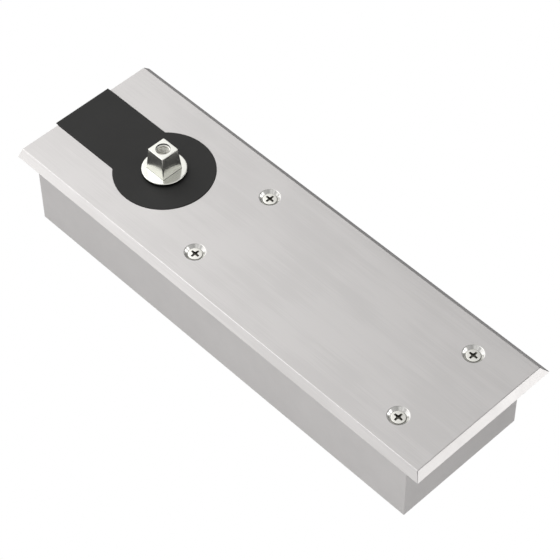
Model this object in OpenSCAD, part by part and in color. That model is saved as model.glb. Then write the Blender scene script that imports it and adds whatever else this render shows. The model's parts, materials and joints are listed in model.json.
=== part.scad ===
// Floor spring: a hydraulic door closer that is cast into the floor under a pivoted door.
// The origin is on the spindle axis at the level of the finished floor, which is the top of the cover.
// X runs along the box, away from the spindle. Y runs across it and Z is up. Lengths are millimetres.

/* [Cover plate] */
// Overall length, from the plain end by the spindle to the far folded edge
cover_length = 305.5; // [302:0.5:320]
// Overall width over both folded edges
cover_width = 98; // [97:0.5:110]
// Thickness of the sheet
cover_t = 1.5; // [1.2:0.1:1.8]
// Run of a folded edge, seen from above
bevel_run = 3.75; // [3:0.25:4.5]
// Drop of a folded edge below the top face
bevel_drop = 3.5; // [3:0.25:4.5]
// Outer radius of the folds
fold_r = 0.8; // [0.4:0.1:1.2]
// Distance from the plain end to the spindle axis
spindle_setback = 67.3; // [64:0.1:72]
// Distance from the spindle axis to the first pair of cover screws
screw_x = 54.7; // [53:0.1:60]
// Distance from the far folded edge to the second pair of cover screws
screw_far_inset = 33.5; // [30:0.5:36]
// Distance between the two screws of a pair
screw_pitch_y = 55.5; // [54:0.5:57]
// Diameter of a pressed screw dimple's cone where it would reach the top face
dimple_d = 11.6; // [10:0.1:12]
// Width of the soft edge round a dimple
dimple_lip = 1.2; // [0.6:0.1:1.4]

/* [Keyhole insert] */
// Diameter of its round part
insert_d = 57; // [54:0.5:60]
// Width of its tongue
insert_w = 38.7; // [34:0.1:42]
// How far its tongue reaches past the plain end of the cover
insert_overhang = 1.85; // [0.5:0.05:4]
// How far it stands above the cover
insert_proud = 0.4; // [0:0.05:0.5]
// Width of the rim that holds it down under the cover
insert_rim = 2; // [1.5:0.25:3]

/* [Cement case] */
// Depth of its underside below the finished floor
case_depth = 52.5; // [52:0.5:60]
// Thickness of its sheet
case_wall = 1.5; // [1:0.1:2]
// How far the cover reaches past it at the plain end
case_end_overhang = 8; // [7.5:0.25:11]
// How far the cover reaches past it at the far end, folded edge included
case_far_overhang = 12.9; // [10:0.1:15]
// How far the cover reaches past it on each long side, folded edge included
case_side_overhang = 6.5; // [6:0.25:7]
// Outer radius of its upright corners
case_corner_r = 0.5; // [0.3:0.1:3]

/* [Spindle] */
// Width across flats of the tapered square at its foot
square_foot = 14.1; // [13:0.1:15]
// Width across flats of the tapered square at its top
square_top = 11.75; // [11:0.05:12.5]
// Height of the top of the square above the finished floor
square_height = 17.4; // [14:0.1:30]
// Diameter of the round flange
flange_d = 25.3; // [24.5:0.1:30]
// Height of the top of the flange above the finished floor
flange_top = 2.7; // [2:0.1:4]
// Thickness of the flange
flange_t = 2.1; // [1.2:0.1:2.2]
// Diameter of the neck that turns in the seal
neck_d = 22; // [21:0.5:22.5]
// Diameter of the seat of the upper bearing
upper_seat_d = 20; // [19.5:0.5:20.5]
// Diameter of the seat of the cam
cam_seat_d = 18; // [17:0.5:19]
// Diameter of the seat of the lower bearing
lower_seat_d = 15; // [14.5:0.5:15.5]
// Diameter of the tapped hole in its top
tapped_d = 6.8; // [5:0.1:7.2]
// Depth of the tapped hole
tapped_depth = 18; // [12:1:24]
// Diameter of the counterbore of the tapped hole
counterbore_d = 8.2; // [7.6:0.1:9]
// Depth of the counterbore
counterbore_depth = 1.5; // [0.5:0.1:3]

/* [Cam and yoke] */
// Opening angle over which the cam lifts the yoke, in degrees
opening_angle = 130; // [110:5:140]
// Travel of the yoke over that angle
yoke_travel = 12; // [9:0.5:13]
// Distance from the spindle axis to the roller's axis with the door closed
roller_orbit = 21.5; // [21:0.25:22]
// Diameter of the roller, with its running gap to the cam
roller_d = 15; // [14:0.5:16]
// Diameter of the roller's pin
roller_pin_d = 7; // [6:0.5:8]
// Thickness of the cam
cam_t = 12; // [11:0.5:12.5]
// Angle on each side of the notch where the cam's flank ends, in degrees
flank_angle = 150; // [146:2:160]
// Thickness of a yoke plate
yoke_t = 3.5; // [3:0.25:4]
// Width of a yoke plate
yoke_w = 34; // [31:0.5:36]
// Radius of the roller end of a yoke plate
yoke_end_r = 8.5; // [6:0.25:9]
// Length of the crosshead that joins the plates to the piston rod
crosshead_l = 12; // [10:0.5:13]
// Width of the crosshead
crosshead_w = 30; // [28:0.5:33]
// Diameter of the two pins through the crosshead
crosshead_pin_d = 5; // [4:0.5:6]
// Distance between those two pins
crosshead_pin_pitch = 20; // [18:0.5:22]
// Width and height of the key between cam and spindle
key_size = 5; // [4:0.5:6]

/* [Bearings and seal] */
// Thickness of the upper bearing between its bore and its outside, on each side
upper_bearing_section = 6; // [5.5:0.25:6.5]
// Width of the upper bearing
upper_bearing_w = 7; // [6.5:0.25:7.5]
// Share of the upper bearing's thickness that a ball takes up
upper_ball_share = 0.58; // [0.5:0.01:0.6]
// Thickness of the lower bearing between its bore and its outside, on each side
lower_bearing_section = 4.5; // [4.25:0.25:5]
// Width of the lower bearing
lower_bearing_w = 5; // [4.5:0.25:5.25]
// Share of the lower bearing's thickness that a ball takes up
lower_ball_share = 0.56; // [0.5:0.01:0.6]
// Balls in each bearing
ball_count = 12; // [9:1:13]
// Width of the shaft seal
seal_w = 4; // [3.5:0.25:4.25]
// Thickness of the seal's retainer ring
retainer_t = 2; // [1.5:0.25:2.25]
// How much the retainer ring is wider than the seal, on each side
retainer_step = 2; // [1.5:0.25:2.5]

/* [Cylinder] */
// Bore of the cylinder
bore_d = 32; // [31:0.5:32.5]
// Length of the piston
piston_l = 20; // [18:0.5:22]
// Length of the piston's spigot inside the spring
spigot_l = 4; // [2:0.5:6]
// Width of the piston ring's groove
ring_w = 4; // [3:0.25:5]
// Depth of the piston ring's groove
ring_depth = 2.2; // [1.5:0.1:2.5]
// Diameter of the piston rod
rod_d = 10; // [9:0.5:11]
// Diameter of the rod's threaded ends in piston and nut
rod_thread_d = 8; // [7:0.5:8.5]
// Width across flats of the piston nut
nut_af = 13; // [12:0.5:14]
// Thickness of the piston nut
nut_t = 6.5; // [5:0.5:7]
// Free space between piston and end plug with the door closed
pressure_l = 14; // [12:0.5:15]
// Length of the end plug
plug_l = 18; // [16:0.5:20]
// How much the end plug's thread is wider than the bore, on each side
plug_step = 1; // [0.75:0.25:1.25]
// Width across flats of the end plug's socket
plug_socket_af = 14; // [12:1:17]
// Thickness of the wall between cam chamber and cylinder
partition_t = 8; // [7:0.5:9]
// Thickness of the spring seat
spring_seat_t = 2; // [1.5:0.25:2.5]
// Diameter of the spring wire
wire_d = 5.5; // [4.5:0.25:5.75]
// Outer diameter of the spring
spring_d = 30.5; // [29.5:0.25:30.75]
// Active turns of the spring
active_turns = 7; // [5:1:8]
// Diameter of the check valve ball in the piston
check_ball_d = 5; // [4:0.25:5.25]

/* [Closer body] */
// Thickness of the walls round the cam chamber
chamber_wall = 6; // [5:0.5:6.5]
// Thickness of the wall over the cylinder bore
bore_wall = 5; // [4.5:0.25:5.5]
// Thickness of the base cover
base_t = 4; // [3.5:0.25:4.25]
// Thickness of the base gasket
gasket_t = 1; // [0.5:0.1:1.25]
// Width of the ledge that the base cover closes
ledge_w = 3.5; // [3:0.25:4]
// Width of the rails beside the cylinder
rail_w = 55; // [54:0.5:55.5]
// Height of the rails
rail_h = 22; // [18:1:24]
// Width of the block at the far end
far_block_w = 68; // [67:0.5:70]
// Distance from the body's middle plane to the valves and oil channels
valve_y = 22.5; // [22:0.25:22.75]
// Diameter of a valve screw
valve_d = 8; // [7:0.5:8.5]
// Diameter of an oil channel
channel_d = 3.5; // [3:0.25:3.75]
// Diameter of a boss under a cover screw
boss_d = 12; // [11:0.5:13]

/* [Fastening] */
// Nominal diameter of the cover screws
cover_screw_d = 4; // [3.5:0.25:4.25]
// Length of the cover screws
cover_screw_l = 14; // [10:1:15]
// Nominal diameter of the base screws
base_screw_d = 5; // [4:0.5:5.5]
// Length of the base screws
base_screw_l = 14; // [12:1:16]
// Nominal diameter of the clamp bolts and levelling screws
clamp_d = 6; // [5:0.5:6]
// Distance from the inner side of the case's long walls to the clamp bolts
clamp_inset = 7; // [6.5:0.25:7.5]
// Distance from the cam housing to the middle of the first pair of ears
ear_near_inset = 24.3; // [20:0.1:28]
// Distance from the middle of the second pair of ears to the far block
ear_far_inset = 23.8; // [20:0.1:28]
// Thickness of an ear
ear_t = 8; // [6:0.5:9]
// Gap between an ear and the case's pillar, left for levelling
level_gap = 2; // [1:0.25:3]

/* [Clearances] */
// Radial gap of a running fit
run_gap = 0.05; // [0.03:0.01:0.08]
// Radial gap of a seated or threaded fit
seat_gap = 0.02; // [0.01:0.01:0.04]
// Gap all round the keyhole insert
insert_gap = 0.2; // [0.1:0.05:0.4]
// Gap between yoke, cam and chamber faces
slide_gap = 0.5; // [0.3:0.1:0.7]
// Gap all round the moving yoke in its chamber
chamber_gap = 1; // [0.8:0.1:1.5]

/* [Hidden] */
$fn = 64;

// How far a cutting solid runs past the face that it cuts
past = 1;
steel = "silver";
bright = "gainsboro";
iron = "dimgray";
rubber = "black";

// Cover plate and case
cover_x0 = -spindle_setback;
cover_x1 = cover_x0 + cover_length;
case_x0 = cover_x0 + case_end_overhang;
case_x1 = cover_x1 - case_far_overhang;
case_half = cover_width / 2 - case_side_overhang;
case_floor = -case_depth + case_wall;
screw_places = [for (x = [screw_x, cover_x1 - screw_far_inset], s = [-1, 1]) [x, s * screw_pitch_y / 2]];
screw_gap = 0.2;
screw_hole_r = cover_screw_d / 2 + screw_gap;
dimple_depth = dimple_d / 2 - screw_hole_r;
dimple_floor_t = 0.3;
dimple_foot_w = 1.2;
dimple_foot_r = screw_hole_r + dimple_foot_w;
dimple_skin = 0.4;
dimple_lip_drop = 0.45;
dimple_lip_slope = (dimple_lip + dimple_lip_drop) / dimple_lip_drop;
boss_top = -dimple_depth - dimple_floor_t;
screw_head_r = cover_screw_d;
screw_rim_h = 0.3;
screw_dome_h = 0.25;
recess_reach = 2.2;
recess_w = 1;
recess_depth = 1.2;
fold_angle = atan(bevel_drop / bevel_run);
fold_tangent = fold_r * tan(fold_angle / 2);
fold_slope = bevel_run / bevel_drop;
edge_shift = cover_t * norm([bevel_run, bevel_drop]) / bevel_drop;

// Levels down the spindle, from the insert to the base cover
insert_rim_t = 1;
insert_tip_t = 0.5;
rim_end_gap = 0.5;
neck_gap = 0.6;
neck_top = -cover_t - insert_rim_t;
seal_top = neck_top - retainer_t;
seal_bottom = seal_top - seal_w;
bearing_end_gap = 0.5;
upper_bearing_top = seal_bottom - bearing_end_gap;
upper_bearing_bottom = upper_bearing_top - upper_bearing_w;
bearing_lip_t = 1;
bearing_lip_w = 2.5;
chamber_top = upper_bearing_bottom - bearing_lip_t;
upper_plate_top = chamber_top - chamber_gap;
upper_plate_bottom = upper_plate_top - yoke_t;
cam_top = upper_plate_bottom - slide_gap;
cam_bottom = cam_top - cam_t;
lower_plate_top = cam_bottom - slide_gap;
lower_plate_bottom = lower_plate_top - yoke_t;
base_boss_top = lower_plate_bottom - chamber_gap;
lower_bearing_top = base_boss_top - bearing_end_gap;
lower_bearing_bottom = lower_bearing_top - lower_bearing_w;
base_skin_t = 3;
body_bottom = lower_bearing_bottom - base_skin_t;
axis_z = (cam_top + cam_bottom) / 2;
body_top = axis_z + bore_d / 2 + bore_wall;
base_top = body_bottom + base_t;
gasket_top = base_top + gasket_t;
square_root_z = flange_top;
flange_bottom = flange_top - flange_t;
spindle_end_gap = 0.4;
spindle_end = lower_bearing_bottom - spindle_end_gap;

// Heart cam: the roller's distance from the spindle grows evenly with the angle
rise = yoke_travel / (opening_angle * PI / 180);
roller_r = roller_d / 2;
notch_r = roller_orbit - roller_r;
cam_reach = norm(flank_point(flank_angle));
flank_step = 3;
notch_steps = 6;
upper_spacer_wall = 2.2;
lower_spacer_wall = 2.5;
upper_spacer_r = cam_seat_d / 2 + upper_spacer_wall;
lower_spacer_r = lower_seat_d / 2 + lower_spacer_wall;
slot_r = max(upper_spacer_r, lower_spacer_r) + run_gap;
slot_spare = 0.5;
slot_end = yoke_travel + slot_spare;
yoke_corner = 3;
yoke_end_angle = 100;
crosshead_skin = 2;
rod_end_gap = 0.5;

// Bearings, the upper one as wide as the seal. Shares of a ball's diameter give a race's land and the cage
upper_bearing_d = upper_seat_d + 2 * upper_bearing_section;
lower_bearing_d = lower_seat_d + 2 * lower_bearing_section;
upper_ball_d = upper_ball_share * upper_bearing_section;
lower_ball_d = lower_ball_share * lower_bearing_section;
land_share = 0.23;
cage_thickness_share = 0.14;
cage_height_share = 0.65;

// Seal
seal_lip_r = neck_d / 2 + run_gap;
seal_skin = 1.3;
seal_web_gap = 0.5;
lip_rise = 0.3;
garter_r = 0.5;
retainer_gap = 0.4;
spanner_hole_r = 1.25;

// Stations along the body
cam_margin = 2;
chamber_r = cam_reach + cam_margin;
chamber_half = yoke_w / 2 + chamber_gap;
chamber_x0 = -(roller_orbit + yoke_end_r + yoke_travel + chamber_gap);
crosshead_x0 = notch_r + rise * PI + chamber_gap;
crosshead_x1 = crosshead_x0 + crosshead_l;
crosshead_pin_x = (crosshead_x0 + crosshead_x1) / 2;
rod_start_x = crosshead_x0 + crosshead_skin + rod_end_gap;
chamber_x1 = crosshead_x1 + chamber_gap;
bore_x0 = chamber_x1 + partition_t;
spring_x0 = bore_x0 + spring_seat_t;
case_end_space = 12.5;
body_x1 = case_x1 - case_wall - case_end_space;
plug_recess = 1;
plug_x1 = body_x1 - plug_recess;
plug_x0 = plug_x1 - plug_l;
piston_x1 = plug_x0 - pressure_l;
piston_x0 = piston_x1 - piston_l;
body_x0 = chamber_x0 - chamber_wall;
housing_half = chamber_r + chamber_wall;
boss_margin = 1;
housing_x1 = max(bore_x0, screw_x + boss_d / 2 + boss_margin);
valve_setback = 5.5;
valve_x = piston_x1 + valve_setback;
far_block_wall = 6;
far_block_x0 = valve_x - valve_d / 2 - far_block_wall;
end_ledge_w = 3;
base_end_margin = 2;
base_half = chamber_r + ledge_w;
base_x0 = chamber_x0 - end_ledge_w;
base_x1 = bore_x0 - base_end_margin;
base_gap = 0.1;
base_corner_r = 1;
base_screw_inset = 8;
base_screw_places = [
    for (x = [base_x0 + base_screw_inset, base_x1 - base_screw_inset], s = [-1, 1])
        [x, s * (base_half - base_screw_inset)]
];
base_boss_wall = 4;
base_relief = 0.8;
thread_spare = 2;

// Outside of the closer body
seal_housing_r = upper_bearing_d / 2 + retainer_step;
seal_housing_wall = 3;
body_corner_r = 8;
far_corner_r = 6;
boss_drop = 12;
rail_z0 = axis_z - rail_h / 2;
rail_z1 = axis_z + rail_h / 2;
filler_x = (spring_x0 + piston_x0) / 2;
filler_r = 3;
filler_boss_r = 6;
filler_boss_h = 1.5;
filler_boss_top = body_top + filler_boss_h;
filler_head_r = 4.5;
filler_head_t = 1.8;
hex_af = 3;
hex_depth = 2;

// Ears, clamp bolts and levelling screws
clamp_y = case_half - case_wall - clamp_inset;
ear_places = [
    for (x = [housing_x1 + ear_near_inset, far_block_x0 - ear_far_inset], s = [-1, 1])
        [x, s * clamp_y]
];
ear_rise = 3.5;
ear_top = rail_z0 + ear_rise;
ear_bottom = ear_top - ear_t;
ear_root = 4;
ear_side = 5;
bolt_offset = 9;
bolt_margin = 9;
levelling_margin = 7;
slot_half = 2;
slot_gap = 0.4;
pillar_top = ear_bottom - level_gap;
pillar_wall = 2.5;
pillar_r = clamp_d / 2 + pillar_wall;
washer_t = 1.6;
washer_w = 2.8;
washer_r = clamp_d / 2 + washer_w;
bolt_head_t = 4;
bolt_head_step = 4;
bolt_head_af = clamp_d + bolt_head_step;
ear_skin = 0.5;
spanner_gap = 1.7;
clamp_seat_r = washer_r + spanner_gap;
bolt_end_gap = 0.5;
levelling_reach = 4;

// Oil channels and valve screws
plug_r = bore_d / 2 + plug_step;
channel_drop = 4;
channel_z = axis_z - channel_drop;
channel_inset = 13;
channel_x0 = bore_x0 + channel_inset;
port_rise = 3;
port_z = axis_z + port_rise;
port_depth = 2;
port_y0 = bore_d / 2 - port_depth;
valve_seat_rise = 2;
valve_seat_z = channel_z + valve_seat_rise;
valve_recess = 1;
valve_top = body_top - valve_recess;
valve_ring_r = 1;
valve_groove_drop = 6;
valve_groove_z = valve_top - valve_groove_drop;
valve_chamfer = 0.5;
valve_cone_h = 2;
valve_slot_w = 1.2;
valve_slot_depth = 1.8;
needle_l = 1.2;
needle_shoulder = 0.6;
needle_gap = 0.5;
long_plug_l = 5;
side_plug_l = 4;

// Piston details
groove_inset = 3;
groove_x = piston_x0 + groove_inset;
check_inset = 4.5;
check_y = bore_d / 2 - check_inset;
check_gap = 0.1;
check_pocket_r = check_ball_d / 2 + check_gap;
check_seat_w = 0.9;
check_seat_r = check_ball_d / 2 - check_seat_w;
check_pocket_depth = 10;
check_pocket_x0 = piston_x1 - check_pocket_depth;
check_retainer_t = 1.5;
check_retainer_inset = 0.5;
spigot_gap = 0.45;
ring_gap = 0.03;
rod_tip = 1.5;
rod_tip_x = piston_x1 + nut_t + rod_tip;
bush_wall = 2;
bush_r = rod_d / 2 + bush_wall;
bush_flange_r = bush_r + bush_wall;
bush_recess = 0.5;
bush_flange_t = spring_seat_t - bush_recess;
spring_seat_gap = 0.3;
plug_land = 2;
plug_ring_r = 1.2;
plug_groove_x = plug_x0 + plug_land;
plug_socket_depth = 8;
groove_gap = 0.1;

// Spring: closed end turns with a small gap, evenly pitched active turns between them
spring_r = (spring_d - wire_d) / 2;
coil_gap = 0.5;
end_turn_pitch = wire_d + coil_gap;
spring_turns = active_turns + 2;
spring_span = piston_x0 - spring_x0 - wire_d;
active_pitch = (spring_span - 2 * end_turn_pitch) / active_turns;
rings_per_turn = 14;
wire_sides = 8;

// A roller centre on the cam's pitch curve is moved in by the roller's radius, square to the curve.
function pitch_radius(a) = roller_orbit + rise * a * PI / 180;
function flank_point(a) =
    let (r = pitch_radius(a), l = norm([r, rise]), u = r - roller_r * r / l, v = roller_r * rise / l)
    [u * cos(a) - v * sin(a), u * sin(a) + v * cos(a)];
function notch_point(a) = [roller_orbit - roller_r * cos(a), roller_r * sin(a)];
function mirrored(points) = [for (i = [len(points) - 1 : -1 : 0]) [points[i][0], -points[i][1]]];
function arc(cx, cy, r, a0, a1, n) = [
    for (i = [0 : n])
        let (a = a0 + (a1 - a0) * i / n)
        [cx + r * cos(a), cy + r * sin(a)]
];
function rounded_outline(x0, x1, half, r, n = 6) = concat(
    arc(x1 - r, half - r, r, 0, 90, n), arc(x0 + r, half - r, r, 90, 180, n),
    arc(x0 + r, r - half, r, 180, 270, n), arc(x1 - r, r - half, r, 270, 360, n));

// Distance along the spring after t turns
function spring_rise(t) =
    t < 1 ? t * end_turn_pitch
    : t > spring_turns - 1 ? spring_span - (spring_turns - t) * end_turn_pitch
    : end_turn_pitch + (t - 1) * active_pitch;

module slab(x0, x1, half, r, z0, z1) {
    translate([0, 0, z0])
        linear_extrude(z1 - z0)
            polygon(rounded_outline(x0, x1, half, r));
}

module box(x0, x1, y0, y1, z0, z1) {
    translate([x0, y0, z0])
        cube([x1 - x0, y1 - y0, z1 - z0]);
}

module post(r, z0, z1) {
    translate([0, 0, z0])
        cylinder(r = r, h = z1 - z0);
}

module ring(inner_r, outer_r, z0, z1) {
    difference() {
        post(outer_r, z0, z1);
        post(inner_r, z0 - past, z1 + past);
    }
}

module cone(r0, r1, z0, z1) {
    translate([0, 0, z0])
        cylinder(r1 = r0, r2 = r1, h = z1 - z0);
}

module hex_post(af, z0, z1) {
    translate([0, 0, z0])
        cylinder(r = af / 2 / cos(30), h = z1 - z0, $fn = 6);
}

// Round bar along X on the cylinder's axis, or beside it
module bar(r, x0, x1, y = 0, z = axis_z) {
    translate([x0, y, z])
        rotate([0, 90, 0])
            cylinder(r = r, h = x1 - x0);
}

// Round bar along Y
module cross_bar(r, x, y0, y1, z) {
    translate([x, y0, z])
        rotate([-90, 0, 0])
            cylinder(r = r, h = y1 - y0);
}

module torus(r, section_r, z) {
    translate([0, 0, z])
        rotate_extrude()
            translate([r, 0])
                circle(r = section_r, $fn = 32);
}

// The children, or their mirror image on the side of negative Y
module on_side(s) {
    mirror([0, s < 0 ? 1 : 0, 0])
        children();
}

module at_places(places) {
    for (p = places)
        translate([p[0], p[1], 0])
            children();
}

// Half outline of the folded sheet, from its lower edge up over one folded edge, and of the space under it
function folded_edge(reach) = concat(
    [[reach, -bevel_drop]],
    arc(reach - bevel_run - fold_tangent, -fold_r, fold_r, 90 - fold_angle, 90, 6));
function inner_edge(reach) = [
    [reach - edge_shift + past * fold_slope, -bevel_drop - past],
    [reach - bevel_run + cover_t * fold_slope - edge_shift, -cover_t]
];
function across(points) = [for (i = [len(points) - 1 : -1 : 0]) [-points[i][0], points[i][1]]];

// Sheet section extruded along Y for the far fold, and along X for the two side folds
module along_y(points) {
    translate([0, cover_width, 0])
        rotate([90, 0, 0])
            linear_extrude(2 * cover_width)
                polygon(points);
}

module along_x(points) {
    translate([cover_x0 - past, 0, 0])
        rotate([90, 0, 90])
            linear_extrude(cover_length + 2 * past)
                polygon(points);
}

module folded_sheet() {
    side = folded_edge(cover_width / 2);
    far = folded_edge(cover_x1);
    inner_side = inner_edge(cover_width / 2);
    inner_far = inner_edge(cover_x1);
    open_x = cover_x0 - past;
    difference() {
        intersection() {
            along_x(concat(side, across(side)));
            along_y(concat(far, [[cover_x0, 0], [cover_x0, -bevel_drop]]));
        }
        intersection() {
            along_x(concat(inner_side, across(inner_side)));
            along_y(concat(inner_far, [[open_x, -cover_t], [open_x, -bevel_drop - past]]));
        }
    }
}

// Shallow cone that softens the edge of a dimple
module dimple_edge() {
    foot_r = dimple_d / 2 - dimple_lip_drop;
    cone(foot_r, foot_r + (dimple_lip_drop + past) * dimple_lip_slope, -dimple_lip_drop, past);
}

module cover_plate() {
    color(bright)
        difference() {
            union() {
                folded_sheet();
                at_places(screw_places)
                    cone(dimple_foot_r, dimple_d / 2 + dimple_skin, boss_top, dimple_skin - cover_t);
            }
            at_places(screw_places) {
                cone(screw_hole_r - past, dimple_d / 2 + past, -dimple_depth - past, past);
                dimple_edge();
                post(screw_hole_r, boss_top - past, 0);
            }
            post(insert_d / 2 + insert_gap, -cover_t - past, past);
            tongue(cover_x0 - past, insert_gap, -cover_t - past, past);
        }
}

// Straight part of the keyhole, from x0 to the spindle axis and wider than the tongue by a margin
module tongue(x0, margin, z0, z1) {
    half = insert_w / 2 + margin;
    box(x0, 0, -half, half, z0, z1);
}

module keyhole_insert() {
    color("#2b2b2b")
        difference() {
            union() {
                post(insert_d / 2, neck_top, insert_proud);
                tongue(cover_x0, 0, -cover_t, insert_proud);
                tongue(cover_x0 - insert_overhang, 0, insert_proud - insert_tip_t, insert_proud);
                post(insert_d / 2 + insert_rim, neck_top, -cover_t);
                tongue(case_x0 + case_wall + rim_end_gap, insert_rim, neck_top, -cover_t);
            }
            post(neck_d / 2 + neck_gap, neck_top - past, insert_proud + past);
        }
}

module cement_case() {
    inner_half = case_half - case_wall;
    color("darkgray") {
        difference() {
            slab(case_x0, case_x1, case_half, case_corner_r, -case_depth, -cover_t);
            box(case_x0 + case_wall, case_x1 - case_wall, -inner_half, inner_half, case_floor, 0);
        }
        at_places(ear_places)
            translate([bolt_offset, 0, 0])
                difference() {
                    post(pillar_r, case_floor - case_wall / 2, pillar_top);
                    post(clamp_d / 2 + seat_gap, case_floor, pillar_top + past);
                }
    }
}

module countersunk_screw(d, head_r, length) {
    cone(d / 2, head_r, -(head_r - d / 2), 0);
    post(d / 2, -length, -(head_r - d / 2));
}

module cross_recess(reach, half_w) {
    for (a = [0, 90])
        rotate(a)
            box(-reach, reach, -half_w, half_w, -recess_depth, past);
}

// Slightly domed top of a screw head, with an upright rim below it
module head_dome(r, rim_h, dome_h) {
    ball_r = (r * r + dome_h * dome_h) / (2 * dome_h);
    intersection() {
        post(r, -rim_h, dome_h + past);
        translate([0, 0, dome_h - ball_r])
            sphere(r = ball_r);
    }
}

module cover_screws() {
    cone_top = -(dimple_d / 2 - screw_head_r) + run_gap;
    color(bright)
        at_places(screw_places)
            translate([0, 0, cone_top])
                difference() {
                    union() {
                        countersunk_screw(cover_screw_d, screw_head_r, cover_screw_l);
                        translate([0, 0, screw_rim_h])
                            head_dome(screw_head_r, screw_rim_h, screw_dome_h);
                    }
                    translate([0, 0, screw_rim_h])
                        cross_recess(recess_reach, recess_w / 2);
                }
}

module body_outside() {
    slab(body_x0, housing_x1, housing_half, body_corner_r, body_bottom, body_top);
    slab(far_block_x0, body_x1, far_block_w / 2, far_corner_r, body_bottom, body_top);
    post(seal_housing_r + seal_housing_wall, body_top - past, neck_top);
    middle_x0 = housing_x1 - past;
    middle_x1 = far_block_x0 + past;
    intersection() {
        bar(bore_d / 2 + bore_wall, middle_x0, middle_x1);
        box(middle_x0, middle_x1, -housing_half, housing_half, body_bottom, body_top + past);
    }
    box(middle_x0, middle_x1, -rail_w / 2, rail_w / 2, rail_z0, rail_z1);
    at_places(screw_places)
        post(boss_d / 2, body_top - boss_drop, boss_top);
    translate([filler_x, 0, 0])
        post(filler_boss_r, body_top - bore_wall / 2, filler_boss_top);
    for (p = ear_places)
        ear(p[0], sign(p[1]));
}

// Ear beside the cylinder: it stands on a levelling screw and is held down by a clamp bolt on a machined seat
module ear(x, side) {
    x0 = x - bolt_offset - levelling_margin;
    x1 = x + bolt_offset + bolt_margin;
    on_side(side)
        box(x0, x1, rail_w / 2 - ear_root, clamp_y + ear_side, ear_bottom, ear_top + ear_skin);
}

module ear_holes() {
    hole_r = clamp_d / 2 + slot_gap;
    z0 = ear_bottom - past;
    z1 = ear_top + past;
    translate([-bolt_offset, 0, 0])
        post(clamp_d / 2 + seat_gap, z0, rail_z1 + past);
    translate([bolt_offset, 0, 0]) {
        post(clamp_seat_r, ear_top, rail_z1 + past);
        for (dx = [-slot_half, slot_half])
            translate([dx, 0, 0])
                post(hole_r, z0, z1);
        box(-slot_half, slot_half, -hole_r, hole_r, z0, z1);
    }
}

module body_chamber() {
    post(seal_housing_r, seal_top, neck_top + past);
    post(upper_bearing_d / 2, upper_bearing_bottom, seal_top + past);
    post(upper_bearing_d / 2 - bearing_lip_w, chamber_top - past, upper_bearing_bottom + past);
    post(chamber_r, gasket_top - past, chamber_top);
    box(chamber_x0, chamber_x1, -chamber_half, chamber_half, gasket_top - past, chamber_top);
    box(base_x0, base_x1, -base_half, base_half, body_bottom - past, gasket_top);
    at_places(base_screw_places)
        post(base_screw_d / 2 + seat_gap, gasket_top - past, body_bottom + base_screw_l + thread_spare);
}

module body_cylinder() {
    bar(bush_r + seat_gap, chamber_x1 - past, bore_x0 + past);
    bar(bore_d / 2, bore_x0, plug_x0 + past);
    bar(plug_r, plug_x0, body_x1 + past);
    translate([filler_x, 0, 0])
        post(filler_r + seat_gap, axis_z, filler_boss_top + past);
}

module body_oilways() {
    for (s = [-1, 1])
        on_side(s) {
            translate([valve_x, valve_y, 0]) {
                post(valve_d / 2 + run_gap, valve_seat_z, body_top + past);
                post(channel_d / 2, channel_z, valve_seat_z + past);
            }
            bar(channel_d / 2, channel_x0, body_x1 + past, valve_y, channel_z);
            cross_bar(channel_d / 2, valve_x, port_y0, far_block_w / 2 + past, port_z);
            cross_bar(channel_d / 2, channel_x0 + channel_d, port_y0, rail_w / 2 + past, channel_z);
        }
}

module closer_body() {
    color(iron)
        difference() {
            body_outside();
            body_chamber();
            body_cylinder();
            body_oilways();
            at_places(screw_places)
                post(cover_screw_d / 2 + seat_gap, boss_top - cover_screw_l, boss_top + past);
            at_places(ear_places)
                ear_holes();
        }
}

module base_slab(z0, z1) {
    slab(base_x0 + base_gap, base_x1 - base_gap, base_half - base_gap, base_corner_r, z0, z1);
}

module base_cover() {
    race_r = lower_bearing_d / 2;
    sink_r = base_screw_d + seat_gap;
    sink_top = body_bottom + sink_r - base_screw_d / 2;
    color(iron)
        difference() {
            union() {
                base_slab(body_bottom, base_top);
                post(race_r + base_boss_wall, base_top - past, base_boss_top);
            }
            post(race_r, lower_bearing_bottom, base_boss_top + past);
            post(race_r - bearing_lip_w, lower_bearing_bottom - base_relief, lower_bearing_bottom + past);
            at_places(base_screw_places) {
                post(base_screw_d / 2 + screw_gap, body_bottom - past, base_top + past);
                cone(sink_r + past, base_screw_d / 2, body_bottom - past, sink_top);
            }
        }
}

module base_gasket() {
    color(rubber)
        difference() {
            base_slab(base_top, gasket_top);
            post(chamber_r, base_top - past, gasket_top + past);
            box(chamber_x0, chamber_x1, -chamber_half, chamber_half, base_top - past, gasket_top + past);
            at_places(base_screw_places)
                post(base_screw_d / 2 + screw_gap, base_top - past, gasket_top + past);
        }
}

module base_screws() {
    color(steel)
        at_places(base_screw_places)
            translate([0, 0, body_bottom])
                mirror([0, 0, 1])
                    difference() {
                        countersunk_screw(base_screw_d, base_screw_d, base_screw_l);
                        hex_post(hex_af, -hex_depth, past);
                    }
}

module tapered_square(foot, top, z0, z1) {
    sides = [[-foot / 2, z0], [foot / 2, z0], [top / 2, z1], [-top / 2, z1]];
    intersection() {
        translate([0, foot, 0])
            rotate([90, 0, 0])
                linear_extrude(2 * foot)
                    polygon(sides);
        translate([-foot, 0, 0])
            rotate([90, 0, 90])
                linear_extrude(2 * foot)
                    polygon(sides);
    }
}

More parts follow.
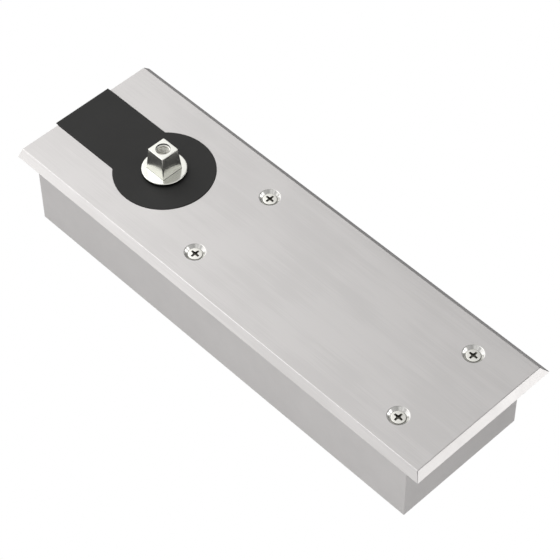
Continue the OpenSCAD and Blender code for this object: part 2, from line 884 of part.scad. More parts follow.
module spindle() {
    color("#d8d4c4")
        difference() {
            union() {
                post(lower_seat_d / 2, spindle_end, cam_bottom);
                post(cam_seat_d / 2, cam_bottom, upper_bearing_bottom);
                post(upper_seat_d / 2, upper_bearing_bottom, upper_bearing_top);
                post(neck_d / 2, upper_bearing_top, flange_bottom);
                post(flange_d / 2, flange_bottom, flange_top);
                tapered_square(square_foot, square_top, square_root_z, square_height);
            }
            post(tapped_d / 2, square_height - tapped_depth, square_height + past);
            post(counterbore_d / 2, square_height - counterbore_depth, square_height + past);
            key_slot(cam_seat_d / 2 - key_size / 2, cam_seat_d / 2 + past, 0, 0);
        }
}

// Space of the key from x0 to x1, wider by a gap on each side and longer by a margin at each end
module key_slot(x0, x1, gap, margin) {
    half = key_size / 2 + gap;
    box(x0, x1, -half, half, cam_bottom - margin, cam_top + margin);
}

module cam() {
    flank = [for (a = [0 : flank_step : flank_angle]) flank_point(a)];
    notch_angle = atan(rise / roller_orbit);
    notch = [for (i = [-notch_steps + 1 : notch_steps - 1]) notch_point(notch_angle * i / notch_steps)];
    color("slategray")
        difference() {
            translate([0, 0, cam_bottom])
                rotate(180)
                    linear_extrude(cam_t)
                        polygon(concat(notch, flank, mirrored(flank)));
            post(cam_seat_d / 2 + seat_gap, cam_bottom - past, cam_top + past);
            key_slot(0, cam_seat_d / 2 + key_size / 2, seat_gap, past);
        }
}

module cam_key() {
    seat_r = cam_seat_d / 2;
    reach = key_size / 2 - seat_gap;
    color(steel)
        key_slot(seat_r - reach, seat_r + reach, -seat_gap, 0);
}

module upper_spacer() {
    color(steel)
        ring(cam_seat_d / 2 + seat_gap, upper_spacer_r, cam_top, upper_bearing_bottom);
}

module lower_spacer() {
    color(steel)
        ring(lower_seat_d / 2 + seat_gap, lower_spacer_r, lower_bearing_top, cam_bottom);
}

// Ball bearing parts. Each takes the seat's diameter, the outer diameter, the ball's diameter and the levels.
function ball_orbit(seat_d, outer_d) = (seat_d + outer_d) / 4;

module inner_race(seat_d, outer_d, ball_d, z0, z1) {
    orbit = ball_orbit(seat_d, outer_d);
    difference() {
        ring(seat_d / 2 + seat_gap, orbit - ball_d * land_share, z0, z1);
        torus(orbit, ball_d / 2 + run_gap, (z0 + z1) / 2);
    }
}

module outer_race(seat_d, outer_d, ball_d, z0, z1) {
    orbit = ball_orbit(seat_d, outer_d);
    difference() {
        ring(orbit + ball_d * land_share, outer_d / 2 - seat_gap, z0, z1);
        torus(orbit, ball_d / 2 + run_gap, (z0 + z1) / 2);
    }
}

module balls(seat_d, outer_d, ball_d, z0, z1) {
    for (i = [0 : ball_count - 1])
        rotate(360 * i / ball_count)
            translate([ball_orbit(seat_d, outer_d), 0, (z0 + z1) / 2])
                sphere(r = ball_d / 2);
}

module cage(seat_d, outer_d, ball_d, z0, z1) {
    orbit = ball_orbit(seat_d, outer_d);
    middle = (z0 + z1) / 2;
    half_t = ball_d * cage_thickness_share;
    half_h = ball_d * cage_height_share;
    difference() {
        ring(orbit - half_t, orbit + half_t, middle - half_h, middle + half_h);
        balls(seat_d, outer_d, ball_d + 4 * run_gap, z0, z1);
    }
}

module upper_inner_race() {
    color(steel)
        inner_race(upper_seat_d, upper_bearing_d, upper_ball_d, upper_bearing_bottom, upper_bearing_top);
}

module upper_outer_race() {
    color(steel)
        outer_race(upper_seat_d, upper_bearing_d, upper_ball_d, upper_bearing_bottom, upper_bearing_top);
}

module upper_balls() {
    color(bright)
        balls(upper_seat_d, upper_bearing_d, upper_ball_d, upper_bearing_bottom, upper_bearing_top);
}

module upper_cage() {
    color("goldenrod")
        cage(upper_seat_d, upper_bearing_d, upper_ball_d, upper_bearing_bottom, upper_bearing_top);
}

module lower_inner_race() {
    color(steel)
        inner_race(lower_seat_d, lower_bearing_d, lower_ball_d, lower_bearing_bottom, lower_bearing_top);
}

module lower_outer_race() {
    color(steel)
        outer_race(lower_seat_d, lower_bearing_d, lower_ball_d, lower_bearing_bottom, lower_bearing_top);
}

module lower_balls() {
    color(bright)
        balls(lower_seat_d, lower_bearing_d, lower_ball_d, lower_bearing_bottom, lower_bearing_top);
}

module lower_cage() {
    color("goldenrod")
        cage(lower_seat_d, lower_bearing_d, lower_ball_d, lower_bearing_bottom, lower_bearing_top);
}

// Lip seal: a stiff outer shell, a web at the top and a lip on the neck with a garter spring round it
module shaft_seal() {
    outer_r = upper_bearing_d / 2 - seat_gap;
    shell_r = outer_r - seal_skin;
    lip_back_r = seal_lip_r + seal_skin;
    web_bottom = seal_top - seal_skin;
    color(rubber)
        rotate_extrude()
            polygon([
                [seal_lip_r + seal_web_gap, seal_top], [outer_r, seal_top], [outer_r, seal_bottom],
                [shell_r, seal_bottom], [shell_r, web_bottom], [lip_back_r, web_bottom],
                [lip_back_r, seal_bottom + lip_rise], [seal_lip_r, seal_bottom + 2 * lip_rise]
            ]);
}

module seal_spring() {
    color(steel)
        torus(seal_lip_r + seal_skin + garter_r + seat_gap, garter_r, seal_bottom + 2 * lip_rise + garter_r);
}

module seal_retainer() {
    outer_r = seal_housing_r - seat_gap;
    color(steel)
        difference() {
            ring(neck_d / 2 + retainer_gap, outer_r, seal_top, neck_top);
            for (a = [0 : 90 : 270])
                rotate(a)
                    translate([(neck_d / 2 + outer_r) / 2, 0, 0])
                        post(spanner_hole_r, seal_top - past, neck_top + past);
        }
}

// Yoke plate: round at the roller end, slotted round the spindle, square at the crosshead
module yoke_plate(z0) {
    z1 = z0 + yoke_t;
    half = yoke_w / 2;
    shoulder = half - yoke_corner;
    upper = concat(
        [[crosshead_x1, 0], [crosshead_x1, shoulder], [crosshead_x1 - yoke_corner, half], [-slot_r, half]],
        arc(-roller_orbit, 0, yoke_end_r, yoke_end_angle, 180, 10));
    color(steel)
        difference() {
            translate([0, 0, z0])
                linear_extrude(yoke_t)
                    polygon(concat(upper, mirrored(upper)));
            for (x = [0, slot_end])
                translate([x, 0, 0])
                    post(slot_r, z0 - past, z1 + past);
            box(0, slot_end, -slot_r, slot_r, z0 - past, z1 + past);
            translate([-roller_orbit, 0, 0])
                post(roller_pin_d / 2 + seat_gap, z0 - past, z1 + past);
            crosshead_pin_holes(z0, z1);
        }
}

module crosshead_pin_holes(z0, z1) {
    for (s = [-1, 1])
        translate([crosshead_pin_x, s * crosshead_pin_pitch / 2, 0])
            post(crosshead_pin_d / 2 + seat_gap, z0 - past, z1 + past);
}

module upper_yoke_plate() {
    yoke_plate(upper_plate_bottom);
}

module lower_yoke_plate() {
    yoke_plate(lower_plate_bottom);
}

module crosshead() {
    half = crosshead_w / 2;
    color("gray")
        difference() {
            box(crosshead_x0, crosshead_x1, -half, half, lower_plate_top, upper_plate_bottom);
            bar(rod_d / 2 + seat_gap, crosshead_x0 + crosshead_skin, crosshead_x1 + past);
            crosshead_pin_holes(lower_plate_top, upper_plate_bottom);
        }
}

module crosshead_pins() {
    color(steel)
        for (s = [-1, 1])
            translate([crosshead_pin_x, s * crosshead_pin_pitch / 2, 0])
                post(crosshead_pin_d / 2, lower_plate_bottom, upper_plate_top);
}

module cam_roller() {
    end_gap = slide_gap / 2;
    color(bright)
        translate([-roller_orbit, 0, 0])
            ring(roller_pin_d / 2 + run_gap, roller_r - run_gap, cam_bottom - end_gap, cam_top + end_gap);
}

module roller_pin() {
    color(steel)
        translate([-roller_orbit, 0, 0])
            post(roller_pin_d / 2, lower_plate_bottom, upper_plate_top);
}

module piston_rod() {
    color(bright) {
        bar(rod_d / 2, rod_start_x, piston_x0 - spigot_l);
        bar(rod_thread_d / 2, piston_x0 - spigot_l - past, rod_tip_x);
    }
}

module rod_bush() {
    color("peru")
        difference() {
            union() {
                bar(bush_r, chamber_x1, bore_x0 + past / 2);
                bar(bush_flange_r, bore_x0, bore_x0 + bush_flange_t);
            }
            bar(rod_d / 2 + run_gap, chamber_x1 - past, spring_x0 + past);
        }
}

module spring_seat() {
    color(steel)
        difference() {
            bar(bore_d / 2 - spring_seat_gap, bore_x0, spring_x0);
            bar(bush_flange_r + seat_gap, bore_x0 - past, spring_x0 + past);
        }
}

// Spring wire swept along a helix round the cylinder's axis
module main_spring() {
    ring_count = spring_turns * rings_per_turn;
    wire_r = wire_d / 2;
    points = [
        for (i = [0 : ring_count], j = [0 : wire_sides - 1])
            let (t = i / rings_per_turn, b = 360 * j / wire_sides, r = spring_r + wire_r * cos(b))
            [
                spring_x0 + wire_r + spring_rise(t) + wire_r * sin(b),
                r * cos(360 * t),
                axis_z + r * sin(360 * t)
            ]
    ];
    sides = [
        for (i = [0 : ring_count - 1], j = [0 : wire_sides - 1])
            let (a = i * wire_sides + j, b = i * wire_sides + (j + 1) % wire_sides)
            each [[a, b, b + wire_sides], [a, b + wire_sides, a + wire_sides]]
    ];
    first_cap = [for (j = [1 : wire_sides - 2]) [0, j + 1, j]];
    last = ring_count * wire_sides;
    last_cap = [for (j = [1 : wire_sides - 2]) [last, last + j, last + j + 1]];
    color("darkslategray")
        polyhedron(points, concat(sides, first_cap, last_cap));
}

module piston() {
    spigot_r = spring_r - wire_d / 2 - spigot_gap;
    color("lightslategray")
        difference() {
            union() {
                bar(bore_d / 2 - run_gap, piston_x0, piston_x1);
                bar(spigot_r, piston_x0 - spigot_l, piston_x0 + past);
            }
            difference() {
                bar(bore_d / 2 + past, groove_x, groove_x + ring_w);
                bar(bore_d / 2 - ring_depth, groove_x - past, groove_x + ring_w + past);
            }
            bar(rod_thread_d / 2 + seat_gap, piston_x0 - spigot_l - past, piston_x1 + past);
            bar(check_seat_r, piston_x0 - past, piston_x1, check_y);
            bar(check_pocket_r, check_pocket_x0, piston_x1 + past, check_y);
        }
}

module piston_ring() {
    color("ivory")
        difference() {
            bar(bore_d / 2 - ring_gap, groove_x + run_gap, groove_x + ring_w - run_gap);
            bar(bore_d / 2 - ring_depth + run_gap, groove_x, groove_x + ring_w);
        }
}

module piston_nut() {
    color(steel)
        difference() {
            translate([piston_x1, 0, axis_z])
                rotate([0, 90, 0])
                    hex_post(nut_af, 0, nut_t);
            bar(rod_thread_d / 2 + seat_gap, piston_x1 - past, piston_x1 + nut_t + past);
        }
}

module check_ball() {
    seat_offset = sqrt(pow(check_ball_d / 2, 2) - pow(check_seat_r, 2));
    color(bright)
        translate([check_pocket_x0 + seat_offset + run_gap, check_y, axis_z])
            sphere(r = check_ball_d / 2);
}

module check_retainer() {
    x1 = piston_x1 - check_retainer_inset;
    x0 = x1 - check_retainer_t;
    color(steel)
        difference() {
            bar(check_pocket_r - seat_gap, x0, x1, check_y);
            bar(check_seat_r, x0 - past, x1 + past, check_y);
        }
}

module end_plug() {
    groove_x1 = plug_groove_x + 2 * (plug_ring_r + groove_gap);
    groove_r = plug_r - 2 * plug_ring_r - groove_gap;
    color(steel)
        difference() {
            bar(plug_r - seat_gap, plug_x0, plug_x1);
            difference() {
                bar(plug_r + past, plug_groove_x, groove_x1);
                bar(groove_r, plug_groove_x - past, groove_x1 + past);
            }
            translate([plug_x1 - plug_socket_depth, 0, axis_z])
                rotate([0, 90, 0])
                    hex_post(plug_socket_af, 0, plug_socket_depth + past);
        }
}

module end_plug_ring() {
    color(rubber)
        translate([plug_groove_x + plug_ring_r + groove_gap, 0, axis_z])
            rotate([0, 90, 0])
                torus(plug_r - plug_ring_r - ring_gap, plug_ring_r, 0);
}

// Valve screw: slotted head, groove for a seal ring, cone and needle over the channel
module valve_screw(side) {
    r = valve_d / 2;
    groove_top = valve_groove_z + 2 * (valve_ring_r + groove_gap);
    groove_r = r - 2 * valve_ring_r - run_gap;
    needle_r = channel_d / 2 - needle_gap;
    slot_half_w = valve_slot_w / 2;
    slot_bottom = valve_top - valve_slot_depth;
    tip_z = valve_seat_z - needle_l;
    cone_z = valve_seat_z + needle_shoulder;
    translate([valve_x, side * valve_y, 0])
        difference() {
            rotate_extrude()
                polygon([
                    [0, tip_z], [needle_r / 2, tip_z], [needle_r, valve_seat_z], [needle_r, cone_z],
                    [r, cone_z + valve_cone_h], [r, valve_groove_z], [groove_r, valve_groove_z],
                    [groove_r, groove_top], [r, groove_top], [r, valve_top - valve_chamfer],
                    [r - valve_chamfer, valve_top], [0, valve_top]
                ]);
            box(-r - past, r + past, -slot_half_w, slot_half_w, slot_bottom, valve_top + past);
        }
}

module valve_ring(side) {
    orbit = valve_d / 2 + run_gap - ring_gap - valve_ring_r;
    translate([valve_x, side * valve_y, 0])
        torus(orbit, valve_ring_r, valve_groove_z + valve_ring_r + groove_gap);
}

module closing_valve() {
    color("goldenrod")
        valve_screw(-1);
}

module closing_valve_ring() {
    color(rubber)
        valve_ring(-1);
}

module latch_valve() {
    color("goldenrod")
        valve_screw(1);
}

module latch_valve_ring() {
    color(rubber)
        valve_ring(1);
}

// Plugs that close the drilled ends of the oil channels
module channel_plugs() {
    r = channel_d / 2 - seat_gap;
    color(steel)
        for (s = [-1, 1])
            on_side(s) {
                bar(r, body_x1 - long_plug_l, body_x1, valve_y, channel_z);
                cross_bar(r, valve_x, far_block_w / 2 - side_plug_l, far_block_w / 2, port_z);
                cross_bar(r, channel_x0 + channel_d, valve_y + channel_d / 2, rail_w / 2, channel_z);
            }
}

module filler_plug() {
    head_top = filler_boss_top + filler_head_t;
    color(steel)
        translate([filler_x, 0, 0])
            difference() {
                union() {
                    post(filler_r, axis_z + bore_d / 2 + slide_gap, filler_boss_top + filler_head_t / 2);
                    post(filler_head_r, filler_boss_top, head_top);
                }
                hex_post(hex_af, head_top - hex_depth, head_top + past);
            }
}

module clamp_bolts() {
    color(steel)
        at_places(ear_places)
            translate([bolt_offset, 0, 0]) {
                post(clamp_d / 2, case_floor + bolt_end_gap, ear_top + washer_t + past);
                hex_post(bolt_head_af, ear_top + washer_t, ear_top + washer_t + bolt_head_t);
            }
}

module clamp_washers() {
    color(bright)
        at_places(ear_places)
            translate([bolt_offset, 0, 0])
                ring(clamp_d / 2 + screw_gap, washer_r, ear_top, ear_top + washer_t);
}

module levelling_screws() {
    color(steel)
        at_places(ear_places)
            translate([-bolt_offset, 0, 0])
                difference() {
                    post(clamp_d / 2, case_floor, ear_top + levelling_reach);
                    hex_post(hex_af, ear_top + levelling_reach - hex_depth, ear_top + levelling_reach + past);
                }
}

cement_case();
cover_plate();
keyhole_insert();
cover_screws();
closer_body();
base_cover();
base_gasket();
base_screws();
spindle();
cam();
cam_key();
upper_spacer();
lower_spacer();
upper_inner_race();
upper_outer_race();
upper_balls();
upper_cage();
lower_inner_race();
lower_outer_race();
lower_balls();
lower_cage();
shaft_seal();
seal_spring();
seal_retainer();
upper_yoke_plate();
lower_yoke_plate();
crosshead();
crosshead_pins();
cam_roller();
roller_pin();
piston_rod();
rod_bush();
spring_seat();
main_spring();
piston();
piston_ring();
piston_nut();
check_ball();
check_retainer();
end_plug();
end_plug_ring();
closing_valve();
closing_valve_ring();
latch_valve();
latch_valve_ring();
channel_plugs();
filler_plug();
clamp_bolts();
clamp_washers();
levelling_screws();
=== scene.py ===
import json
import math

import bmesh
import bpy
from mathutils import Matrix, Vector
from mathutils.geometry import delaunay_2d_cdt


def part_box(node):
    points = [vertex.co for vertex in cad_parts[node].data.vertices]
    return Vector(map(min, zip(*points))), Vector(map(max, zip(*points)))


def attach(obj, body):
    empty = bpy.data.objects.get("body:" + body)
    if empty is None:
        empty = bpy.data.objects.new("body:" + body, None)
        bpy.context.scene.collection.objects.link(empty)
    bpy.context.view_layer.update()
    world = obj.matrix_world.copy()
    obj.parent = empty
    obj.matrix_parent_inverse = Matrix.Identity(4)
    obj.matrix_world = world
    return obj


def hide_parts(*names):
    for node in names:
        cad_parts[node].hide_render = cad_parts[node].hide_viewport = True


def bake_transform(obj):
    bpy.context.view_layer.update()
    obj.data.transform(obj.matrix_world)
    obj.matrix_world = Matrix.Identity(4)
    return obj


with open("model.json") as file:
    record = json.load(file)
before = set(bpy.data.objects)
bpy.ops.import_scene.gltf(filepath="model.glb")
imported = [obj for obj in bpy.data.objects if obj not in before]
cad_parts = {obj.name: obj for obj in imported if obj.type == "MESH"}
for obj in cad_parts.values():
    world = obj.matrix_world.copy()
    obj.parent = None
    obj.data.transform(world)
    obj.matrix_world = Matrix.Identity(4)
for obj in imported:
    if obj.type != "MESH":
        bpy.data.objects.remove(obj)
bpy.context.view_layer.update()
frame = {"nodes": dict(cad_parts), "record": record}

# Floor spring, dressed for its photograph. Lengths are millimetres until a mesh is written in metres.
# The origin is on the spindle axis at the finished floor, X runs along the box and Z is up.
MM = 0.001


def mm_box(node):
    """A CAD node's lowest and highest corner."""
    low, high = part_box(node)
    return [c / MM for c in low], [c / MM for c in high]


# Steps of a small rounded edge
ROUND_STEPS = 4

# Points of a mesh this close are one, in metres, and points of a flat face, in millimetres
WELD = 2e-6
PLATE_WELD = 1e-5

# Cover plate. Three edges are folded down at a slant. The two mitred corners leave a seam between them.
COVER_LOW, COVER_HIGH = mm_box("cover_plate")
SHEET_T = 1.5
BEVEL_RUN = 3.75
BEVEL_DROP = 3.5
FOLD_R = 0.8
FOLD_STEPS = 7
LIP_ROUND = 0.05
SEAM = 0.3
CUT_EDGE = 0.12
FOLD_ANGLE = math.atan2(BEVEL_DROP, BEVEL_RUN)
FOLD_START = -BEVEL_RUN - FOLD_R * math.tan(FOLD_ANGLE / 2)
SHEET_SHIFT = SHEET_T * math.hypot(BEVEL_RUN, BEVEL_DROP) / BEVEL_DROP
INNER_CORNER = -BEVEL_RUN + SHEET_T * BEVEL_RUN / BEVEL_DROP - SHEET_SHIFT
COVER_HALF = COVER_HIGH[1]

# Cover screws and their dimples. A head's rim stands just clear of the dimple's slope.
SCREW_LOW, SCREW_HIGH = mm_box("cover_screws")
HEAD_R = 4.0
SHANK_R = 2.0
HEAD_GAP = 0.05
HEAD_RIM = 0.3
HEAD_DOME = 0.12
HEAD_ROUND = 0.12
RECESS_REACH = 2.7
RECESS_TIP = 0.55
RECESS_ROOT = 0.72
RECESS_WAIST = 1.0
RECESS_FLOOR_SHARE = 0.62
RECESS_DEPTH = 1.2
RECESS_PLATE_R = 3.0
SHANK_CUT = 0.5
HEAD_STEPS = 3
SCREW_SIDES = 48
SCREW_X = (SCREW_LOW[0] + HEAD_R, SCREW_HIGH[0] - HEAD_R)
SCREW_Y = SCREW_HIGH[1] - HEAD_R
SCREW_PLACES = [(x, side * SCREW_Y) for x in SCREW_X for side in (-1, 1)]
DIMPLE_R = 5.8
DIMPLE_SLOPE = math.pi / 4
DIMPLE_ROUND = 0.8
DIMPLE_STEPS = 8
RIM_TOP = HEAD_R - DIMPLE_R + HEAD_GAP + HEAD_RIM
DIMPLE_HOLE_R = 2.2
DIMPLE_FOOT_R = 3.4
DIMPLE_FLOOR_T = 0.3

# Keyhole insert: a plate in the keyhole, a thin tip past the cover's end and a wider rim below the cover
INSERT_LOW, INSERT_HIGH = mm_box("keyhole_insert")
INSERT_R = 28.5
TONGUE_HALF = 19.35
INSERT_GAP = 0.2
INSERT_RIM = 2.0
INSERT_HOLE_R = 11.6
INSERT_HOLE_SIDES = 96
INSERT_ROUND = 0.25
INSERT_TIP_T = 0.5
CASE_LOW = mm_box("cement_case")[0]
CASE_WALL = 1.5
RIM_GAP = 0.5
RIM_X0 = CASE_LOW[0] + CASE_WALL + RIM_GAP

# Spindle, from its square down to its lower end. The keyway's sides lean in towards its floor.
SPINDLE_LOW, SPINDLE_HIGH = mm_box("spindle")
SQUARE_FOOT = 14.1
SQUARE_TOP = 11.75
SQUARE_ROOT_Z = 2.7
SQUARE_ROUND = 0.6
# Height of the band at the square's root that is painted black as the shade in the crease
ROOT_SHADE_BAND = 0.2
SQUARE_TOP_ROUND = 0.3
FLANGE_R = 12.65
FLANGE_BOTTOM = 0.6
FLANGE_ROUND = 0.45
FLANGE_CUT = 0.2
NECK_R = 11.0
UPPER_SEAT_R = 10.0
CAM_SEAT_R = 9.0
LOWER_SEAT_R = 7.5
SHAFT_CUT = 0.6
SHAFT_SIDES = 96
KEY_HALF = 2.5
KEY_DRAFT = 0.01
CAM_LOW, CAM_HIGH = mm_box("cam")
NECK_BOTTOM = mm_box("upper_inner_race")[1][2]
SEAT_BOTTOM = mm_box("upper_inner_race")[0][2]

# Its hole: a wall painted black as shade, a cone that leads in and a thread whose land and flank are shares
# of half a pitch
COUNTERBORE_R = 4.15
COUNTERBORE_DEPTH = 0.95
LEAD_DEPTH = 1.35
MOUTH_CHAMFER = 0.15
BORE_R = 3.4
BORE_DEPTH = 18.0
THREAD_R = 3.88
THREAD_PITCH = 1.25
THREAD_LAND = 0.3
THREAD_FLANK = 0.45
THREAD_STEPS = 10
HOLE_SIDES = 48

# Main spring, along X, with a closed turn at each end
SPRING_LOW, SPRING_HIGH = mm_box("main_spring")
WIRE_D = 5.5
WIRE_SIDES = 14
END_PITCH = 6.0
SPRING_TURNS = 9
TURN_STEPS = 32

# Camera, as fitted to the photograph: place in metres, angles in degrees, lens and sensor in millimetres
CAMERA_PLACE = (0.61313, -0.50087, 0.86817)
CAMERA_YAW = 46.19
CAMERA_PITCH = 50.70
CAMERA_ROLL = -0.53
CAMERA_LENS = 136.87
CAMERA_SENSOR = 36


# Node trees


# Nearly all of a noise's values are between these
NOISE_LOW = 0.3
NOISE_HIGH = 0.7


class Tree:
    """A short way to add and join the nodes of one material or world."""

    def __init__(self, owner):
        owner.use_nodes = True
        self.nodes = owner.node_tree.nodes
        self.links = owner.node_tree.links
        self.nodes.clear()

    def add(self, kind, inputs=None, **settings):
        node = self.nodes.new(kind)
        for key, value in settings.items():
            setattr(node, key, value)
        for key, value in (inputs or {}).items():
            if isinstance(value, bpy.types.NodeSocket):
                self.links.new(value, node.inputs[key])
            else:
                node.inputs[key].default_value = value
        return node

    def grain(self, scale, detail=3.0, roughness=0.5, stretch=(1, 1, 1)):
        """Noise whose features are about 1/scale metres across, drawn out by stretch."""
        place = self.add("ShaderNodeTexCoord").outputs["Object"]
        size = tuple(scale / s for s in stretch)
        mapped = self.add("ShaderNodeMapping", {"Vector": place, "Scale": size}).outputs["Vector"]
        settings = {"Vector": mapped, "Scale": 1.0, "Detail": detail, "Roughness": roughness}
        return self.add("ShaderNodeTexNoise", settings).outputs["Fac"]

    def spread(self, value, low, high, start=NOISE_LOW, end=NOISE_HIGH):
        """Carries a value from start..end to low..high."""
        ends = {"Value": value, "From Min": start, "From Max": end, "To Min": low, "To Max": high}
        return self.add("ShaderNodeMapRange", ends).outputs["Result"]

    def blend(self, value, dark, light):
        """A colour between dark and light, as a noise value goes."""
        ramp = self.add("ShaderNodeValToRGB", {"Fac": value})
        ends = zip(ramp.color_ramp.elements, (NOISE_LOW, NOISE_HIGH), (dark, light))
        for element, place, colour in ends:
            element.position = place
            element.color = (*colour, 1)
        return ramp.outputs["Color"]

    def bump(self, height, strength, distance):
        inputs = {"Height": height, "Strength": strength, "Distance": distance * MM}
        return self.add("ShaderNodeBump", inputs).outputs["Normal"]

    def surface(self, **inputs):
        named = {key.replace("_", " "): value for key, value in inputs.items()}
        shader = self.add("ShaderNodeBsdfPrincipled", named)
        self.add("ShaderNodeOutputMaterial", {"Surface": shader.outputs[0]})


def new_material(name):
    material = bpy.data.materials.new(name)
    return material, Tree(material)


def shade(colour, factor):
    return tuple(min(1.0, c * factor) for c in colour)


# Materials


def brushed_cover():
    """Stainless sheet, brushed along the box."""
    material, tree = new_material("brushed_cover")
    fine = tree.grain(2600, 2, 0.6, (90, 1, 1))
    broad = tree.grain(150, 3, 0.55, (16, 1, 1))
    cloud = tree.grain(22, 2, 0.5)
    mixed = tree.add("ShaderNodeMath", {0: fine, 1: broad}, operation="ADD").outputs[0]
    mixed = tree.add("ShaderNodeMath", {0: mixed, 1: cloud}, operation="ADD").outputs[0]
    colour = tree.spread(mixed, 0.0, 1.0, start=1.2, end=1.8)
    tangent = tree.add("ShaderNodeTangent", direction_type="UV_MAP", uv_map="grain").outputs[0]
    tree.surface(
        Base_Color=tree.blend(colour, (0.632, 0.618, 0.6155), (0.668, 0.653, 0.6505)),
        Metallic=1.0,
        Roughness=tree.spread(broad, 0.30, 0.37),
        Anisotropic=0.55,
        Anisotropic_Rotation=0.25,
        Tangent=tangent,
        Normal=tree.bump(fine, 0.10, 0.02),
    )
    return material


def case_grey():
    """Zinc-grey painted sheet."""
    material, tree = new_material("case_grey")
    mottle = tree.grain(60, 4, 0.6)
    pores = tree.grain(2200, 3, 0.6)
    tree.surface(
        Base_Color=tree.blend(mottle, (0.580, 0.565, 0.562), (0.609, 0.593, 0.590)),
        Metallic=0.0,
        Roughness=tree.spread(pores, 0.55, 0.68),
        Specular_IOR_Level=0.35,
        Normal=tree.bump(pores, 0.12, 0.03),
    )
    return material


def insert_black():
    """Black moulding with a fine texture."""
    material, tree = new_material("insert_black")
    grain = tree.grain(3200, 4, 0.65)
    cloud = tree.grain(45, 3, 0.5)
    tree.surface(
        Base_Color=tree.blend(cloud, (0.0125, 0.0125, 0.0122), (0.0155, 0.0155, 0.0151)),
        Metallic=0.0,
        Roughness=tree.spread(grain, 0.52, 0.66),
        Specular_IOR_Level=0.45,
        Normal=tree.bump(grain, 0.25, 0.04),
    )
    return material


def polished(name, colour, rough, scale, bump=0.04, stretch=(1, 1, 1)):
    """A metal with faint marks of its finishing and a haze that is lighter and darker by a little."""
    material, tree = new_material(name)
    marks = tree.grain(scale, 3, 0.6, stretch)
    haze = tree.grain(90, 3, 0.55)
    tree.surface(
        Base_Color=tree.blend(haze, shade(colour, 0.96), shade(colour, 1.02)),
        Metallic=1.0,
        Roughness=tree.spread(marks, *rough),
        Normal=tree.bump(marks, bump, 0.01),
    )
    return material


def pressed_dimple():
    return polished("pressed_dimple", (0.66, 0.655, 0.64), (0.16, 0.24), 900, bump=0.05, stretch=(6, 1, 1))


def spindle_nickel():
    return polished("spindle_nickel", (0.875, 0.878, 0.83), (0.185, 0.215), 700, bump=0.008)


def machined_bore():
    """Turned wall inside the spindle's hole, matt enough to carry light down it."""
    material, tree = new_material("machined_bore")
    rings = tree.grain(2600, 2, 0.6, (40, 40, 1))
    haze = tree.grain(90, 3, 0.55)
    tree.surface(
        Base_Color=tree.blend(haze, (0.965, 0.96, 0.90), (0.985, 0.98, 0.92)),
        Metallic=0.85,
        Roughness=tree.spread(rings, 0.26, 0.34),
        Normal=tree.bump(rings, 0.08, 0.02),
    )
    return material


# Painted shade: black for the shadowed gap under the spindle's flange, the crease at the square's root and
# the mouth of its hole
def spindle_painted_shade():
    return polished("spindle_painted_shade", (0.035, 0.035, 0.035), (0.35, 0.5), 900)


def screw_bright():
    return polished("screw_bright", (0.88, 0.875, 0.83), (0.20, 0.28), 900)


# Painted shade: dark for the shadowed cross recess and the gap below each screw's head
def screw_painted_shade():
    return polished("screw_painted_shade", (0.17, 0.165, 0.145), (0.4, 0.55), 1200)


def bearing_steel():
    return polished("bearing_steel", (0.72, 0.73, 0.74), (0.12, 0.18), 800)


def hard_steel():
    return polished("hard_steel", (0.47, 0.47, 0.48), (0.24, 0.36), 1500, bump=0.12, stretch=(20, 1, 1))


def fastener_steel():
    return polished("fastener_steel", (0.64, 0.64, 0.61), (0.28, 0.42), 1200, bump=0.1)


def spring_steel():
    return polished("spring_steel", (0.17, 0.17, 0.185), (0.3, 0.42), 1000, bump=0.1)


def piston_alloy():
    return polished("piston_alloy", (0.62, 0.63, 0.65), (0.22, 0.32), 2400, bump=0.12, stretch=(0.3, 20, 20))


def cage_brass():
    return polished("cage_brass", (0.76, 0.56, 0.25), (0.25, 0.36), 900, bump=0.08)


def bush_bronze():
    return polished("bush_bronze", (0.60, 0.39, 0.20), (0.36, 0.5), 2600, bump=0.3)


def valve_brass():
    return polished("valve_brass", (0.78, 0.61, 0.29), (0.16, 0.26), 1600, bump=0.08, stretch=(8, 8, 1))


def cast_body():
    """Painted iron casting with a sand skin."""
    material, tree = new_material("cast_body")
    sand = tree.grain(1100, 5, 0.7)
    cloud = tree.grain(50, 4, 0.6)
    tree.surface(
        Base_Color=tree.blend(cloud, (0.060, 0.065, 0.070), (0.085, 0.090, 0.096)),
        Metallic=0.0,
        Roughness=tree.spread(sand, 0.42, 0.62),
        Coat_Weight=0.1,
        Coat_Roughness=0.4,
        Normal=tree.bump(sand, 0.5, 0.12),
    )
    return material


def soft_plastic(name, dark, light, rough, scale, bump):
    """A moulded plastic or rubber."""
    material, tree = new_material(name)
    grain = tree.grain(scale, 4, 0.6)
    cloud = tree.grain(80, 3, 0.5)
    tree.surface(
        Base_Color=tree.blend(cloud, dark, light),
        Metallic=0.0,
        Roughness=tree.spread(grain, *rough),
        Normal=tree.bump(grain, bump, 0.03),
    )
    return material


def ring_plastic():
    return soft_plastic("ring_plastic", (0.70, 0.67, 0.58), (0.76, 0.73, 0.64), (0.4, 0.5), 1500, 0.1)


def seal_rubber():
    return soft_plastic("seal_rubber", (0.014, 0.014, 0.014), (0.022, 0.022, 0.022), (0.6, 0.75), 2200, 0.3)


MAKERS = [
    brushed_cover, pressed_dimple, case_grey, insert_black, screw_bright, screw_painted_shade, spindle_nickel,
    machined_bore, spindle_painted_shade, cast_body, hard_steel, bearing_steel, spring_steel, fastener_steel,
    piston_alloy, cage_brass, bush_bronze, valve_brass, ring_plastic, seal_rubber,
]
MATERIALS = {maker.__name__: maker() for maker in MAKERS}


def dress_nodes():
    """Gives every CAD node the material of its slot in the record."""
    for part in frame["record"]["subparts"]:
        material = MATERIALS[part["material_slot"]]
        for place in frame["nodes"][part["node"]].material_slots:
            place.material = material


# Mesh building


